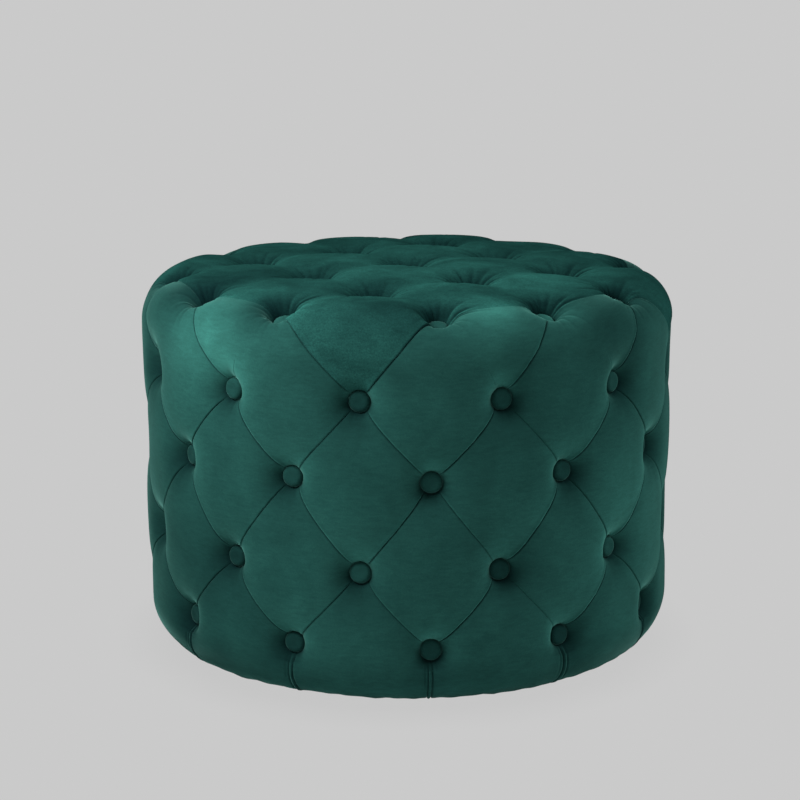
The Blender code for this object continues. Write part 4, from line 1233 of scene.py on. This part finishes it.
cover = VelvetCover()
cover.pin_pits()
cover.settle()
cover.fold()
top_velvet = emerald_velvet("emerald_velvet_top", low=0.70, high=1.30, grain=0.24, red=0.0265, sheen=0.0)
side_velvet = emerald_velvet("emerald_velvet_side", low=0.86, high=1.14, grain=0.08, red=0.0290, sheen=0.13)
twine = waxed_twine()
for panel, piece in cover.pieces().items():
    dress(piece, "velvet", [panel], top_velvet if panel == "top_cover" else side_velvet)
for row in ("rim", *ROW_HEIGHTS, "inner", "outer", "middle"):
    dress(add_button_row(row), "velvet", [f"buttons_{row}"], side_velvet, twine)
foam = cream_foam()
for node, piece in (("side_foam", add_side_foam()), ("top_foam", add_top_foam())):
    dress(piece, "foam", [node], foam)
dust_cover, dust_cover_edge = add_dust_cover()
dress(dust_cover, "dust_cloth", ["dust_cover"], black_cambric())

plywood = birch_plywood()
frame_finishes = {"top_deck": plywood, "wall_panel": plywood, "base_ring": plywood,
                  "post": sawn_pine(), "glide": black_plastic(), "screw": zinc_steel()}
for name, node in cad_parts.items():
    stem = "screw" if "screw" in name else name.rstrip("0123456789").rstrip("_")
    if stem in frame_finishes:
        node.data.materials.clear()
        node.data.materials.append(frame_finishes[stem])


# Camera, light and floor. In pixels: the picture's side, the focal length and where the aim shows
PICTURE = 800.0
FOCAL = 2119.0
AIM_ACROSS = 407.5
AIM_DOWN = 456.0

# Film width in millimetres, the camera's distance, its slope in degrees and the height of its aim
FILM_WIDTH = 36.0
CAMERA_AWAY = 2.5
CAMERA_SLOPE = 14.0
AIM_HEIGHT = 0.21

# Grey of the backdrop, the world's light on the stool, and the floor's shade close to the stool
BACKDROP = (0.591, 0.591, 0.591, 1.0)
WORLD_LIGHT = 0.15
FLOOR_RADIUS = 40.0
FLOOR_SHADE = 0.95
FLOOR_SHADE_REACH = 0.06


def add_camera():
    data = bpy.data.cameras.new("camera")
    data.sensor_width = FILM_WIDTH
    data.lens = FILM_WIDTH * FOCAL / PICTURE
    data.shift_x = -(AIM_ACROSS - PICTURE / 2.0) / PICTURE
    data.shift_y = (AIM_DOWN - PICTURE / 2.0) / PICTURE
    camera = add_piece("camera", data)
    slope = math.radians(CAMERA_SLOPE)
    camera.location = (0.0, -CAMERA_AWAY * math.cos(slope), AIM_HEIGHT + CAMERA_AWAY * math.sin(slope))
    camera.rotation_euler = (math.radians(90.0 - CAMERA_SLOPE), 0.0, 0.0)
    bpy.context.scene.camera = camera


def add_lamp(name, place, aim, size, power):
    data = bpy.data.lights.new(name, "AREA")
    data.shape = "DISK"
    data.size = size
    data.energy = power
    lamp = add_piece(name, data)
    lamp.location = place
    lamp.rotation_euler = (Vector(aim) - Vector(place)).to_track_quat("-Z", "Y").to_euler()


def shows_backdrop(tree):
    """1 for what the camera sees, straight or in metal and clear pieces, and 0 for light on the stool."""
    ray = tree.nodes.new("ShaderNodeLightPath").outputs
    mirrored = add_node(tree, "ShaderNodeMath", {0: ray["Is Glossy Ray"], 1: ray["Is Transmission Ray"]},
                        operation="MAXIMUM")
    seen = add_node(tree, "ShaderNodeMath", {0: ray["Is Camera Ray"], 1: mirrored.outputs["Value"]},
                    operation="MAXIMUM")
    return seen.outputs["Value"]


def add_floor():
    """A pale floor that the camera sees in the backdrop's own grey, darker where the stool stands close."""
    shape = bmesh.new()
    bmesh.ops.create_circle(shape, cap_ends=True, segments=96, radius=FLOOR_RADIUS)
    floor = add_piece("floor", mesh_of(shape, "floor"))
    finish = Finish("pale_floor", 0.9)
    finish.sets({"Base Color": BACKDROP})
    near = finish.node("ShaderNodeAmbientOcclusion", {"Distance": FLOOR_SHADE_REACH}, samples=16)
    tone = finish.ranged(near.outputs["AO"], {"From Min": 0.3, "To Min": FLOOR_SHADE})
    seen = finish.node("ShaderNodeEmission", {"Color": BACKDROP, "Strength": tone})
    mix = finish.node("ShaderNodeMixShader",
                      {"Fac": shows_backdrop(finish.tree), 1: finish.shader.outputs["BSDF"],
                       2: seen.outputs["Emission"]})
    finish.tree.links.new(mix.outputs["Shader"], finish.tree.nodes["Material Output"].inputs["Surface"])
    floor.data.materials.append(finish.material)


def add_world():
    world = bpy.data.worlds.new("studio")
    bpy.context.scene.world = world
    world.use_nodes = True
    tree = world.node_tree
    background = tree.nodes["Background"].inputs
    background["Color"].default_value = BACKDROP
    strength = add_node(tree, "ShaderNodeMapRange",
                        {"Value": shows_backdrop(tree), "To Min": WORLD_LIGHT, "To Max": 1.0})
    tree.links.new(strength.outputs["Result"], background["Strength"])


add_camera()
add_lamp("key", place=(-0.64, -0.56, 0.92), aim=(0.0, 0.0, 0.30), size=0.3, power=14.0)
add_lamp("front", place=(-0.3, -2.4, 0.7), aim=(0.0, 0.0, 0.25), size=0.8, power=14.0)
add_lamp("fill", place=(2.0, -0.3, 1.9), aim=(0.0, 0.0, 0.25), size=1.0, power=58.0)
add_lamp("back", place=(-0.8, 2.4, 1.0), aim=(0.0, 0.0, 0.25), size=1.0, power=14.0)
add_floor()
add_world()
bpy.context.scene.view_settings.view_transform = "Standard"
